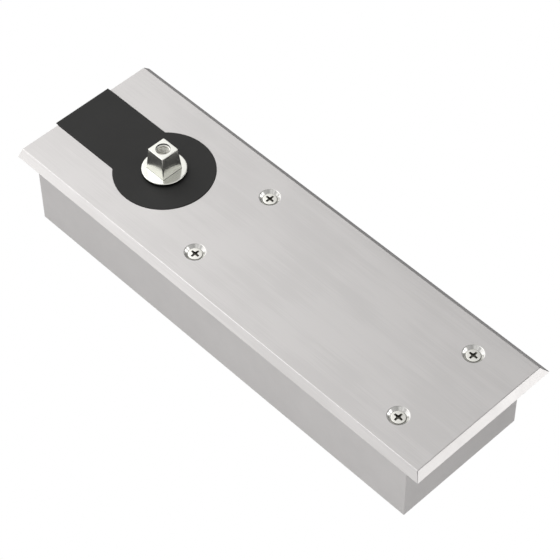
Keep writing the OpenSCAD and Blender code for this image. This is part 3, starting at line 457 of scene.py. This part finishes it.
class Shell:
    """Points and faces of a piece, in millimetres. A face's finish says which of the slots it takes."""

    def __init__(self):
        self.points = []
        self.faces = []
        self.finishes = []
        self.finish = 0

    def add_face(self, corners):
        corners = list(dict.fromkeys(corners))
        if len(corners) > 2:
            self.faces.append(corners)
            self.finishes.append(self.finish)

    def add(self, points):
        start = len(self.points)
        self.points += [tuple(p) for p in points]
        return list(range(start, len(self.points)))

    def face(self, points):
        self.add_face(self.add(points))

    def band(self, first, second, closed=True):
        """Quads between two rows of as many points each."""
        a, b = self.add(first), self.add(second)
        count = len(a)
        for i in range(count if closed else count - 1):
            j = (i + 1) % count
            self.add_face([a[i], a[j], b[j], b[i]])

    def loft(self, rows, closed=True):
        for first, second in zip(rows, rows[1:]):
            self.band(first, second, closed)

    def plate(self, outline, holes, z):
        """A face inside an outline and outside its holes, at height z or at the height z(x, y)."""
        points, edges = [], []
        for loop in [outline, *holes]:
            start, count = len(points), len(loop)
            points += [Vector((p[0], p[1])) for p in loop]
            edges += [(start + i, start + (i + 1) % count) for i in range(count)]
        found = delaunay_2d_cdt(points, edges, [], 1, PLATE_WELD)
        ids = self.add([(p[0], p[1], z(p[0], p[1]) if callable(z) else z) for p in found[0]])
        for triangle in found[2]:
            middle = sum((found[0][i] for i in triangle), Vector((0, 0))) / len(triangle)
            if inside(middle, [(points[a], points[b]) for a, b in edges]):
                self.add_face([ids[i] for i in triangle])

    def build(self, name, slots, body, node, sharp=32):
        """The finished piece, riding a body unless body is None."""
        mesh = bpy.data.meshes.new(name)
        work = bmesh.new()
        made = [work.verts.new([c * MM for c in p]) for p in self.points]
        for corners, finish in zip(self.faces, self.finishes):
            work.faces.new([made[i] for i in corners]).material_index = finish
        bmesh.ops.remove_doubles(work, verts=work.verts, dist=WELD)
        bmesh.ops.recalc_face_normals(work, faces=work.faces)
        for face in work.faces:
            face.smooth = True
        layer = work.loops.layers.uv.new("grain")
        for face in work.faces:
            for loop in face.loops:
                loop[layer].uv = (loop.vert.co.x, loop.vert.co.y)
        work.to_mesh(mesh)
        work.free()
        mesh.set_sharp_from_angle(angle=math.radians(sharp))
        for slot in slots:
            mesh.materials.append(MATERIALS[slot])
        piece = bpy.data.objects.new(name, mesh)
        bpy.context.scene.collection.objects.link(piece)
        normals = piece.modifiers.new("even_normals", "WEIGHTED_NORMAL")
        normals.keep_sharp = True
        if body:
            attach(piece, body)
        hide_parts(node)
        return piece


def inside(spot, edges):
    """Whether a spot is inside an outline and outside its holes."""
    crossings = 0
    for a, b in edges:
        if (a[1] > spot[1]) != (b[1] > spot[1]):
            crossings += spot[0] < a[0] + (spot[1] - a[1]) * (b[0] - a[0]) / (b[1] - a[1])
    return crossings % 2 == 1


def circle(r, z=0.0, count=64, centre=(0.0, 0.0)):
    angles = [2 * math.pi * i / count for i in range(count)]
    return [(centre[0] + r * math.cos(a), centre[1] + r * math.sin(a), z) for a in angles]


def quarter_turn(steps):
    """Angles from 0 to 90 degrees."""
    return [math.pi / 2 * i / steps for i in range(steps + 1)]


def raised(loop, z):
    """The loop moved to height z."""
    return [(p[0], p[1], z) for p in loop]


def shifted(loop):
    """The loop with its first point last."""
    return loop[1:] + loop[:1]


def square_ring(half, r, z, steps=3):
    """Outline of a square with rounded corners."""
    flat = half - r
    points = []
    for x_side, y_side, start in ((1, 1, 0), (-1, 1, 90), (-1, -1, 180), (1, -1, 270)):
        for i in range(steps + 1):
            a = math.radians(start + 90 * i / steps)
            points.append((x_side * flat + r * math.cos(a), y_side * flat + r * math.sin(a), z))
    return points


def keyhole(x_end, half, r, z=0.0, steps=72):
    """Outline of a tongue that ends at x_end joined to a circle about the spindle."""
    join = math.atan2(half, -math.sqrt(r * r - half * half))
    arc = [join - 2 * join * i / steps for i in range(steps + 1)]
    points = [(x_end, -half, z), (x_end, half, z)]
    return points + [(r * math.cos(a), r * math.sin(a), z) for a in arc]


# Cover plate


def fold_profile():
    """A folded edge from the flat top down and back up inside: distance out from the edge, and z."""
    arc = [FOLD_ANGLE * i / FOLD_STEPS for i in range(FOLD_STEPS + 1)]
    points = [(FOLD_START + FOLD_R * math.sin(a), FOLD_R * math.cos(a) - FOLD_R) for a in arc]
    return points + [
        (-LIP_ROUND * math.cos(FOLD_ANGLE), LIP_ROUND * math.sin(FOLD_ANGLE) - BEVEL_DROP),
        (-LIP_ROUND, -BEVEL_DROP),
        (-SHEET_SHIFT, -BEVEL_DROP),
        (INNER_CORNER, -SHEET_T),
    ]


def seam_shares(profile):
    """The mitre seam opens along the fold and stays open down to the lip."""
    shares = [min(1.0, i / FOLD_STEPS) for i in range(len(profile))]
    shares[-1] = 0.0
    return shares


def fold_strips(shell, profile):
    """The two long folded edges with the plate's plain cut end, and the short folded edge between them."""
    x0, x1 = COVER_LOW[0], COVER_HIGH[0]
    gaps = [SEAM / math.sqrt(2) * share for share in seam_shares(profile)]
    keyhole_y = TONGUE_HALF + INSERT_GAP
    for side in (-1, 1):
        along = [[(x0, side * (COVER_HALF + out), z), (x1 + out - gap, side * (COVER_HALF + out), z)]
                 for (out, z), gap in zip(profile, gaps)]
        shell.loft(along, closed=False)
        shell.face([row[1] for row in along])
        cut_end = [row[0] for row in along]
        cut_end += [(x0, side * keyhole_y, -SHEET_T), (x0, side * (keyhole_y + CUT_EDGE), 0)]
        shell.face(cut_end)
    across = [[(x1 + out, -COVER_HALF - out + gap, z), (x1 + out, COVER_HALF + out - gap, z)]
              for (out, z), gap in zip(profile, gaps)]
    shell.loft(across, closed=False)
    shell.face([row[0] for row in across])
    shell.face([row[1] for row in across])


def dimple_profile():
    """A pressed dimple from its rounded lip down, through its hole and back up: radius and z."""
    centre = DIMPLE_R + DIMPLE_ROUND * math.tan(DIMPLE_SLOPE / 2)
    arc = [DIMPLE_SLOPE * i / DIMPLE_STEPS for i in range(DIMPLE_STEPS + 1)]
    lip = [(centre - DIMPLE_ROUND * math.sin(a), DIMPLE_ROUND * math.cos(a) - DIMPLE_ROUND) for a in arc]
    depth = DIMPLE_R - DIMPLE_HOLE_R
    foot = -depth - DIMPLE_FLOOR_T
    return lip + [
        (DIMPLE_HOLE_R, -depth),
        (DIMPLE_HOLE_R, foot),
        (DIMPLE_FOOT_R, foot),
        (DIMPLE_R, -SHEET_T),
    ]


def cover_sheet():
    """The folded plate with its keyhole and its four pressed dimples."""
    shell = Shell()
    slots = ["brushed_cover", "pressed_dimple"]
    brushed, pressed = range(len(slots))
    x0, x1 = COVER_LOW[0], COVER_HIGH[0]
    profile = fold_profile()
    fold_strips(shell, profile)
    dimples = dimple_profile()
    shell.finish = pressed
    for place in SCREW_PLACES:
        shell.loft([circle(r, z, centre=place) for r, z in dimples])
    shell.finish = brushed
    r, half = INSERT_R + INSERT_GAP, TONGUE_HALF + INSERT_GAP
    rim = keyhole(x0, half + CUT_EDGE, r + CUT_EDGE)
    cut = keyhole(x0, half, r)
    walls = [shifted(rim), raised(shifted(cut), -CUT_EDGE), raised(shifted(cut), -SHEET_T)]
    shell.loft(walls, closed=False)

    def sheet_face(inset, opening, hole_r, z):
        reach, half_y = x1 + inset, COVER_HALF + inset
        corners = [(x0, -half_y), (reach, -half_y), (reach, half_y), (x0, half_y)]
        outline = corners + [(p[0], p[1]) for p in shifted(opening)]
        shell.plate(outline, [circle(hole_r, centre=place) for place in SCREW_PLACES], z)

    sheet_face(FOLD_START, rim, dimples[0][0], 0.0)
    sheet_face(INNER_CORNER, cut, dimples[-1][0], -SHEET_T)
    return shell.build("cover_sheet", slots, "housing", "cover_plate")


# Keyhole insert


def insert_moulding():
    """The black plate that closes the keyhole round the spindle, with its rim below the cover."""
    shell = Shell()
    x_end, top = INSERT_LOW[0], INSERT_HIGH[2]
    insets = [(INSERT_ROUND * (1 - math.sin(a)), top - INSERT_ROUND * (1 - math.cos(a)))
              for a in quarter_turn(ROUND_STEPS)]
    tip = top - INSERT_TIP_T
    under_tip = ((x_end, tip), (COVER_LOW[0], tip), (COVER_LOW[0], -SHEET_T))
    rows = [keyhole(x_end + inset, TONGUE_HALF - inset, INSERT_R - inset, z) for inset, z in insets]
    rows += [keyhole(x, TONGUE_HALF, INSERT_R, z) for x, z in under_tip]
    shell.loft(rows)
    hole = [circle(INSERT_HOLE_R + inset, z, INSERT_HOLE_SIDES) for inset, z in insets + [(0.0, -SHEET_T)]]
    shell.loft(hole)
    shell.plate(rows[0], [hole[0]], top)
    shell.plate(rows[-1], [hole[-1]], -SHEET_T)
    rim = keyhole(RIM_X0, TONGUE_HALF + INSERT_RIM, INSERT_R + INSERT_RIM, -SHEET_T)
    rim_hole = circle(INSERT_HOLE_R, -SHEET_T, INSERT_HOLE_SIDES)
    bottom = INSERT_LOW[2]
    shell.loft([rim, raised(rim, bottom)])
    shell.loft([rim_hole, raised(rim_hole, bottom)])
    shell.plate(rim, [rim_hole], bottom)
    return shell.build("insert_moulding", ["insert_black"], "housing", "keyhole_insert")


# Spindle


def tapered_square():
    """Rings of the square from the painted shade band at its root up to its rounded top edge."""
    top = SPINDLE_HIGH[2]
    half_top, half_foot = SQUARE_TOP / 2, SQUARE_FOOT / 2

    def half_at(z):
        return half_foot + (half_top - half_foot) * (z - SQUARE_ROOT_Z) / (top - SQUARE_ROOT_Z)

    edge = [(SQUARE_TOP_ROUND * (1 - math.cos(a)), SQUARE_TOP_ROUND * (1 - math.sin(a)))
            for a in quarter_turn(ROUND_STEPS)]
    rows = [square_ring(half_at(SQUARE_ROOT_Z + ROOT_SHADE_BAND), SQUARE_ROUND, SQUARE_ROOT_Z + ROOT_SHADE_BAND)]
    rows += [square_ring(half_at(top - drop) - inset, SQUARE_ROUND, top - drop) for inset, drop in edge]
    return rows


def hole_mouth():
    """Rings of the hole's mouth from its chamfered rim down its wall, which are painted black as shade."""
    top = SPINDLE_HIGH[2]
    wall_r = COUNTERBORE_R - MOUTH_CHAMFER
    profile = [(COUNTERBORE_R, top), (wall_r, top - MOUTH_CHAMFER), (wall_r, top - COUNTERBORE_DEPTH)]
    return [circle(r, z, HOLE_SIDES) for r, z in profile]


def thread_rows(z0, z1):
    """Rings of the hole's threaded wall from z0 down to z1. The groove fades over a turn at each end."""
    turns = (z0 - z1) / THREAD_PITCH
    total = int(turns * THREAD_STEPS)
    rows = []
    for k in range(total + 1):
        z = z0 + (z1 - z0) * k / total
        fade = min(1.0, k / THREAD_STEPS, (total - k) / THREAD_STEPS)
        row = []
        for i in range(HOLE_SIDES):
            a = 2 * math.pi * i / HOLE_SIDES
            phase = ((z0 - z) / THREAD_PITCH + i / HOLE_SIDES) % 1.0
            groove = min(1.0, max(0.0, (1 - abs(2 * phase - 1) - THREAD_LAND) / THREAD_FLANK))
            r = BORE_R + (THREAD_R - BORE_R) * groove * fade
            row.append((r * math.cos(a), r * math.sin(a), z))
        rows.append(row)
    return rows


def shaft_ring(r, z, keyed=False):
    """A ring of the shaft whose keyway, if it has one, faces +X."""
    edge = math.asin(KEY_HALF / CAM_SEAT_R)
    inner = max(1, round(SHAFT_SIDES * edge / (2 * math.pi)))
    angles = [edge * (i / inner - 1) for i in range(2 * inner + 1)]
    rest = SHAFT_SIDES - 2 * inner
    angles += [edge + (2 * math.pi - 2 * edge) * i / rest for i in range(1, rest)]
    points = []
    for n, a in enumerate(angles):
        x, y = r * math.cos(a), r * math.sin(a)
        if keyed and 0 < n < 2 * inner:
            x = CAM_SEAT_R - KEY_HALF
            y = y * (KEY_HALF - KEY_DRAFT) / KEY_HALF
        points.append((x, y, z))
    return points


def shaft_rings():
    """Rings from the flange's rounded rim down the stepped shaft to its chamfered lower end."""
    f = FLANGE_ROUND
    end = SPINDLE_LOW[2]
    profile = [(FLANGE_R - f + f * math.sin(a), SQUARE_ROOT_Z - f + f * math.cos(a))
               for a in quarter_turn(ROUND_STEPS)]
    profile += [
        (FLANGE_R, FLANGE_BOTTOM + FLANGE_CUT),
        (FLANGE_R - FLANGE_CUT, FLANGE_BOTTOM),
        (NECK_R, FLANGE_BOTTOM),
        (NECK_R, NECK_BOTTOM),
        (UPPER_SEAT_R, NECK_BOTTOM),
        (UPPER_SEAT_R, SEAT_BOTTOM),
        (CAM_SEAT_R, SEAT_BOTTOM),
        (CAM_SEAT_R, CAM_HIGH[2]),
    ]
    rings = [shaft_ring(r, z) for r, z in profile]
    rings += [shaft_ring(CAM_SEAT_R, z, keyed=True) for z in (CAM_HIGH[2], CAM_LOW[2])]
    rings += [shaft_ring(CAM_SEAT_R, CAM_LOW[2]), shaft_ring(LOWER_SEAT_R, CAM_LOW[2])]
    return rings + [shaft_ring(LOWER_SEAT_R, end + SHAFT_CUT), shaft_ring(LOWER_SEAT_R - SHAFT_CUT, end)]


def spindle_forging():
    """The square with its tapped hole, the flange and the stepped shaft."""
    shell = Shell()
    slots = ["spindle_nickel", "spindle_painted_shade", "machined_bore"]
    # The black slot is painted shade under the flange, at the square's root and in the hole's mouth
    nickel, black, bore = range(len(slots))
    top, bottom = SPINDLE_HIGH[2], SPINDLE_HIGH[2] - BORE_DEPTH
    root = square_ring(SQUARE_FOOT / 2, SQUARE_ROUND, SQUARE_ROOT_Z)
    square = tapered_square()
    mouth = hole_mouth()
    shell.loft(square)
    shell.plate(square[-1], [mouth[0]], top)
    # Painted shade: the band at the square's root and the hole's mouth are black
    shell.finish = black
    shell.band(root, square[0])
    shell.loft(mouth)
    shell.finish = bore
    threads = thread_rows(top - LEAD_DEPTH, bottom)
    shell.band(mouth[-1], threads[0])
    shell.loft(threads)
    shell.plate(threads[-1], [], bottom)

    rings = shaft_rings()
    # Painted shade: the flange's side and underside are black as the shadow of the gap above the insert
    flange_side_and_underside = range(ROUND_STEPS, ROUND_STEPS + 3)
    for n, (first, second) in enumerate(zip(rings, rings[1:])):
        shell.finish = black if n in flange_side_and_underside else nickel
        shell.band(first, second)
    shell.finish = nickel
    shell.plate(rings[0], [root], SQUARE_ROOT_Z)
    shell.plate(rings[-1], [], SPINDLE_LOW[2])
    return shell.build("spindle_forging", slots, "spindle_group", "spindle", sharp=35)


# Cover screws


def cross_outline(share, z, place):
    """Outline of the cross recess about a place, with its size scaled by share."""
    arm = [(RECESS_WAIST, -RECESS_ROOT), (RECESS_REACH, -RECESS_TIP),
           (RECESS_REACH, RECESS_TIP), (RECESS_WAIST, RECESS_ROOT)]
    points = []
    for c, s in ((1, 0), (0, 1), (-1, 0), (0, -1)):
        points += [(place[0] + share * (x * c - y * s), place[1] + share * (x * s + y * c), z)
                   for x, y in arm]
    return points


def countersunk_screw(shell, place):
    """A domed head with a cross recess, its cone, and a shank with a chamfered end."""
    # The dark slot is painted shade
    bright, dark = 0, 1
    ball = (HEAD_R ** 2 + HEAD_DOME ** 2) / (2 * HEAD_DOME)

    def dome(r):
        return RIM_TOP + HEAD_DOME - ball + math.sqrt(ball * ball - r * r)

    def dome_at(x, y):
        return dome(math.hypot(x - place[0], y - place[1]))

    flat_r = HEAD_R - HEAD_ROUND
    edge_z = dome(flat_r) - HEAD_ROUND
    foot = SCREW_LOW[2]
    cone_top = RIM_TOP - HEAD_RIM
    tops = [RECESS_PLATE_R + (flat_r - RECESS_PLATE_R) * i / HEAD_STEPS for i in range(HEAD_STEPS + 1)]
    profile = [(r, dome(r)) for r in tops]
    profile += [(flat_r + HEAD_ROUND * math.sin(a), edge_z + HEAD_ROUND * math.cos(a))
                for a in quarter_turn(HEAD_STEPS)[1:]]
    side = len(profile)
    profile += [
        (HEAD_R, cone_top),
        (SHANK_R, cone_top - HEAD_R + SHANK_R),
        (SHANK_R, foot + SHANK_CUT),
        (SHANK_R - SHANK_CUT, foot),
    ]
    rings = [circle(r, z, SCREW_SIDES, place) for r, z in profile]
    shell.finish = bright
    shell.loft(rings[:side])
    # Painted shade: the rim below the head, its cone and the shank are dark as the shadow in the gap
    shell.finish = dark
    shell.loft(rings[side - 1:])
    shell.plate(rings[-1], [], foot)
    mouth = [(x, y, dome_at(x, y)) for x, y, z in cross_outline(1.0, 0.0, place)]
    floor = cross_outline(RECESS_FLOOR_SHARE, RIM_TOP - RECESS_DEPTH, place)
    shell.finish = bright
    shell.plate(rings[0], [mouth], dome_at)
    # Painted shade: the cross recess is dark as the shadow inside it
    shell.finish = dark
    shell.band(mouth, floor)
    shell.plate(floor, [], RIM_TOP - RECESS_DEPTH)


def cross_screws():
    """The four cover screws as one piece."""
    shell = Shell()
    for place in SCREW_PLACES:
        countersunk_screw(shell, place)
    return shell.build("cross_screws", ["screw_bright", "screw_painted_shade"], "housing", "cover_screws", sharp=30)


# Main spring


def spring_rise(turn):
    """Distance along the spring after so many turns, with a closed turn at each end."""
    span = SPRING_HIGH[0] - SPRING_LOW[0] - WIRE_D
    if turn < 1:
        return turn * END_PITCH
    if turn > SPRING_TURNS - 1:
        return span - (SPRING_TURNS - turn) * END_PITCH
    return END_PITCH + (turn - 1) * (span - 2 * END_PITCH) / (SPRING_TURNS - 2)


def wire_ring(turn):
    """The wire's outline after so many turns."""
    wire_r = WIRE_D / 2
    a = 2 * math.pi * turn
    ring = []
    for i in range(WIRE_SIDES):
        b = 2 * math.pi * i / WIRE_SIDES
        r = SPRING_HIGH[1] - wire_r + wire_r * math.cos(b)
        x = SPRING_LOW[0] + wire_r + spring_rise(turn) + wire_r * math.sin(b)
        ring.append((x, r * math.cos(a), (SPRING_LOW[2] + SPRING_HIGH[2]) / 2 + r * math.sin(a)))
    return ring


def main_coil():
    """The coil that sits between its seat in the body and the piston that the yoke pulls."""
    shell = Shell()
    rings = [wire_ring(n / TURN_STEPS) for n in range(SPRING_TURNS * TURN_STEPS + 1)]
    shell.loft(rings)
    shell.face(rings[0])
    shell.face(rings[-1])
    coil = shell.build("main_coil", ["spring_steel"], None, "main_spring", sharp=40)
    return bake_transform(coil)


# Scene round the object


LAMPS = [
    # towards, full within and gone beyond (degrees), strength
    ((0.407, 0.885, 0.21), 4, 13, 2.4),
    ((0.72, 0.58, 0.38), 1, 16, 1.95),
    ((0.20, -0.76, 0.61), 5, 34, 0.50),
    ((-0.457, -0.15, 0.875), 3, 12, 2.2),
]
SHADES = [
    # towards, full within and gone beyond (degrees), share of the light that is left
    ((-0.70, 0.67, 0.22), 10, 34, 0.25),
    ((-0.28, -0.74, 0.61), 4, 17, 0.70),
]
# The sky's level along X and along Y, as place from -1 to 1 and level. The two are multiplied.
LEVELS_X = [
    (-1.0, 1.15), (-0.78, 1.25), (-0.6, 1.42), (-0.457, 0.945), (-0.35, 0.845), (-0.1, 0.73),
    (0.04, 0.62), (0.10, 0.28), (0.22, 0.28), (0.31, 0.46), (0.6, 0.46), (1.0, 0.56),
]
LEVELS_Y = [
    (-1.0, 1.7), (-0.92, 1.4), (-0.84, 1.0), (-0.5, 1.0), (-0.2, 1.13),
    (0.1, 1.2), (0.28, 1.25), (0.42, 1.0), (0.75, 0.4), (1.0, 0.4),
]
HIGHEST_LEVEL = 2.0
# The horizon's band: full below and gone above these heights, and its strength
HORIZON = (0.12, 0.35, 0.90)
TENT_TINT = (1, 0.995, 0.985, 1)
WHITE = (1, 1, 1, 1)
# What the floor gives back to the object: y from and to, in metres, and the levels there
FLOOR_Y = (-0.25, 0.10)
FLOOR_LEVELS = (0.68, 0.24)
# How far the floor reaches and how far it is below the case, in metres
FLOOR_REACH = 6.0
FLOOR_GAP = 0.0002


def soft_step(tree, value, start, end, low, high):
    """Carries a value from start..end to low..high with a soft beginning and end."""
    ends = {"Value": value, "From Min": start, "From Max": end, "To Min": low, "To Max": high}
    return tree.add("ShaderNodeMapRange", ends, interpolation_type="SMOOTHSTEP").outputs["Result"]


def round_patch(tree, direction, towards, inner, outer, centre, around):
    """A value that goes from around to centre within a soft round patch of the sky."""
    aim = tuple(Vector(towards).normalized())
    near = tree.add("ShaderNodeVectorMath", {0: direction, 1: aim}, operation="DOT_PRODUCT")
    edge, full = (math.cos(math.radians(a)) for a in (outer, inner))
    return soft_step(tree, near.outputs["Value"], edge, full, around, centre)


def level_ramp(tree, value, levels):
    """The sky's level along one axis. A ramp holds no more than 1, so its levels are scaled."""
    ramp = tree.add("ShaderNodeValToRGB", {"Fac": tree.spread(value, 0.0, 1.0, -1.0, 1.0)})
    elements = ramp.color_ramp.elements
    while len(elements) < len(levels):
        elements.new(0.5)  # moved to its place below
    for element, (place, level) in zip(elements, levels):
        element.position = (place + 1) / 2
        share = level / HIGHEST_LEVEL
        element.color = (share, share, share, 1)
    scaled = {0: ramp.outputs["Color"], 1: HIGHEST_LEVEL}
    return tree.add("ShaderNodeMath", scaled, operation="MULTIPLY").outputs[0]


def studio_world():
    """White to the camera. To the object: a tent with a bright left and horizon, lamps and shades."""
    world = bpy.data.worlds.new("studio")
    bpy.context.scene.world = world
    tree = Tree(world)

    def joined(first, second, operation):
        return tree.add("ShaderNodeMath", {0: first, 1: second}, operation=operation).outputs[0]

    direction = tree.add("ShaderNodeTexCoord").outputs["Generated"]
    parts = tree.add("ShaderNodeSeparateXYZ", {"Vector": direction}).outputs
    tent = joined(level_ramp(tree, parts["X"], LEVELS_X), level_ramp(tree, parts["Y"], LEVELS_Y), "MULTIPLY")
    low, high, strength = HORIZON
    height = tree.add("ShaderNodeMath", {0: parts["Z"]}, operation="ABSOLUTE").outputs[0]
    tent = joined(tent, soft_step(tree, height, high, low, 0.0, strength), "ADD")
    for towards, inner, outer, strength in LAMPS:
        tent = joined(tent, round_patch(tree, direction, towards, inner, outer, strength, 0.0), "ADD")
    for towards, inner, outer, left in SHADES:
        tent = joined(tent, round_patch(tree, direction, towards, inner, outer, left, 1.0), "MULTIPLY")
    light = tree.add("ShaderNodeBackground", {"Color": TENT_TINT, "Strength": tent}).outputs[0]
    white = tree.add("ShaderNodeBackground", {"Color": WHITE, "Strength": 1.0}).outputs[0]
    seen = tree.add("ShaderNodeLightPath").outputs["Is Camera Ray"]
    mix = tree.add("ShaderNodeMixShader", {0: seen, 1: light, 2: white}).outputs[0]
    tree.add("ShaderNodeOutputWorld", {"Surface": mix})


def studio_floor():
    """A plain white floor. What it gives back to the object is softer, and darker behind the object."""
    material, tree = new_material("floor_white")
    seen = tree.add("ShaderNodeLightPath").outputs["Is Camera Ray"]
    place = tree.add("ShaderNodeTexCoord").outputs["Object"]
    across = tree.add("ShaderNodeSeparateXYZ", {"Vector": place}).outputs["Y"]
    level = tree.spread(across, *FLOOR_LEVELS, *FLOOR_Y)
    white = tree.add("ShaderNodeEmission", {"Color": WHITE, "Strength": 1.0}).outputs[0]
    glow = tree.add("ShaderNodeEmission", {"Color": WHITE, "Strength": level}).outputs[0]
    mix = tree.add("ShaderNodeMixShader", {0: seen, 1: glow, 2: white}).outputs[0]
    tree.add("ShaderNodeOutputMaterial", {"Surface": mix})
    mesh = bpy.data.meshes.new("floor")
    z = CASE_LOW[2] * MM - FLOOR_GAP
    corners = [(x * FLOOR_REACH, y * FLOOR_REACH, z) for x, y in ((-1, -1), (1, -1), (1, 1), (-1, 1))]
    mesh.from_pydata(corners, [], [(0, 1, 2, 3)])
    mesh.materials.append(material)
    floor = bpy.data.objects.new("floor", mesh)
    bpy.context.scene.collection.objects.link(floor)


def photo_camera():
    yaw, pitch, roll = (math.radians(a) for a in (CAMERA_YAW, CAMERA_PITCH, CAMERA_ROLL))
    back = Vector((math.sin(yaw) * math.cos(pitch), -math.cos(yaw) * math.cos(pitch), math.sin(pitch)))
    right = Vector((math.cos(yaw), math.sin(yaw), 0))
    up = back.cross(right)
    c, s = math.cos(roll), math.sin(roll)
    turn = Matrix((c * right + s * up, c * up - s * right, back)).transposed()
    data = bpy.data.cameras.new("camera")
    data.lens = CAMERA_LENS
    data.sensor_width = CAMERA_SENSOR
    camera = bpy.data.objects.new("camera", data)
    camera.matrix_world = Matrix.Translation(CAMERA_PLACE) @ turn.to_4x4()
    bpy.context.scene.collection.objects.link(camera)
    bpy.context.scene.camera = camera


photo_camera()
studio_world()
studio_floor()
dress_nodes()
cover_sheet()
insert_moulding()
spindle_forging()
cross_screws()
main_coil()
bpy.context.scene.view_settings.view_transform = "Standard"
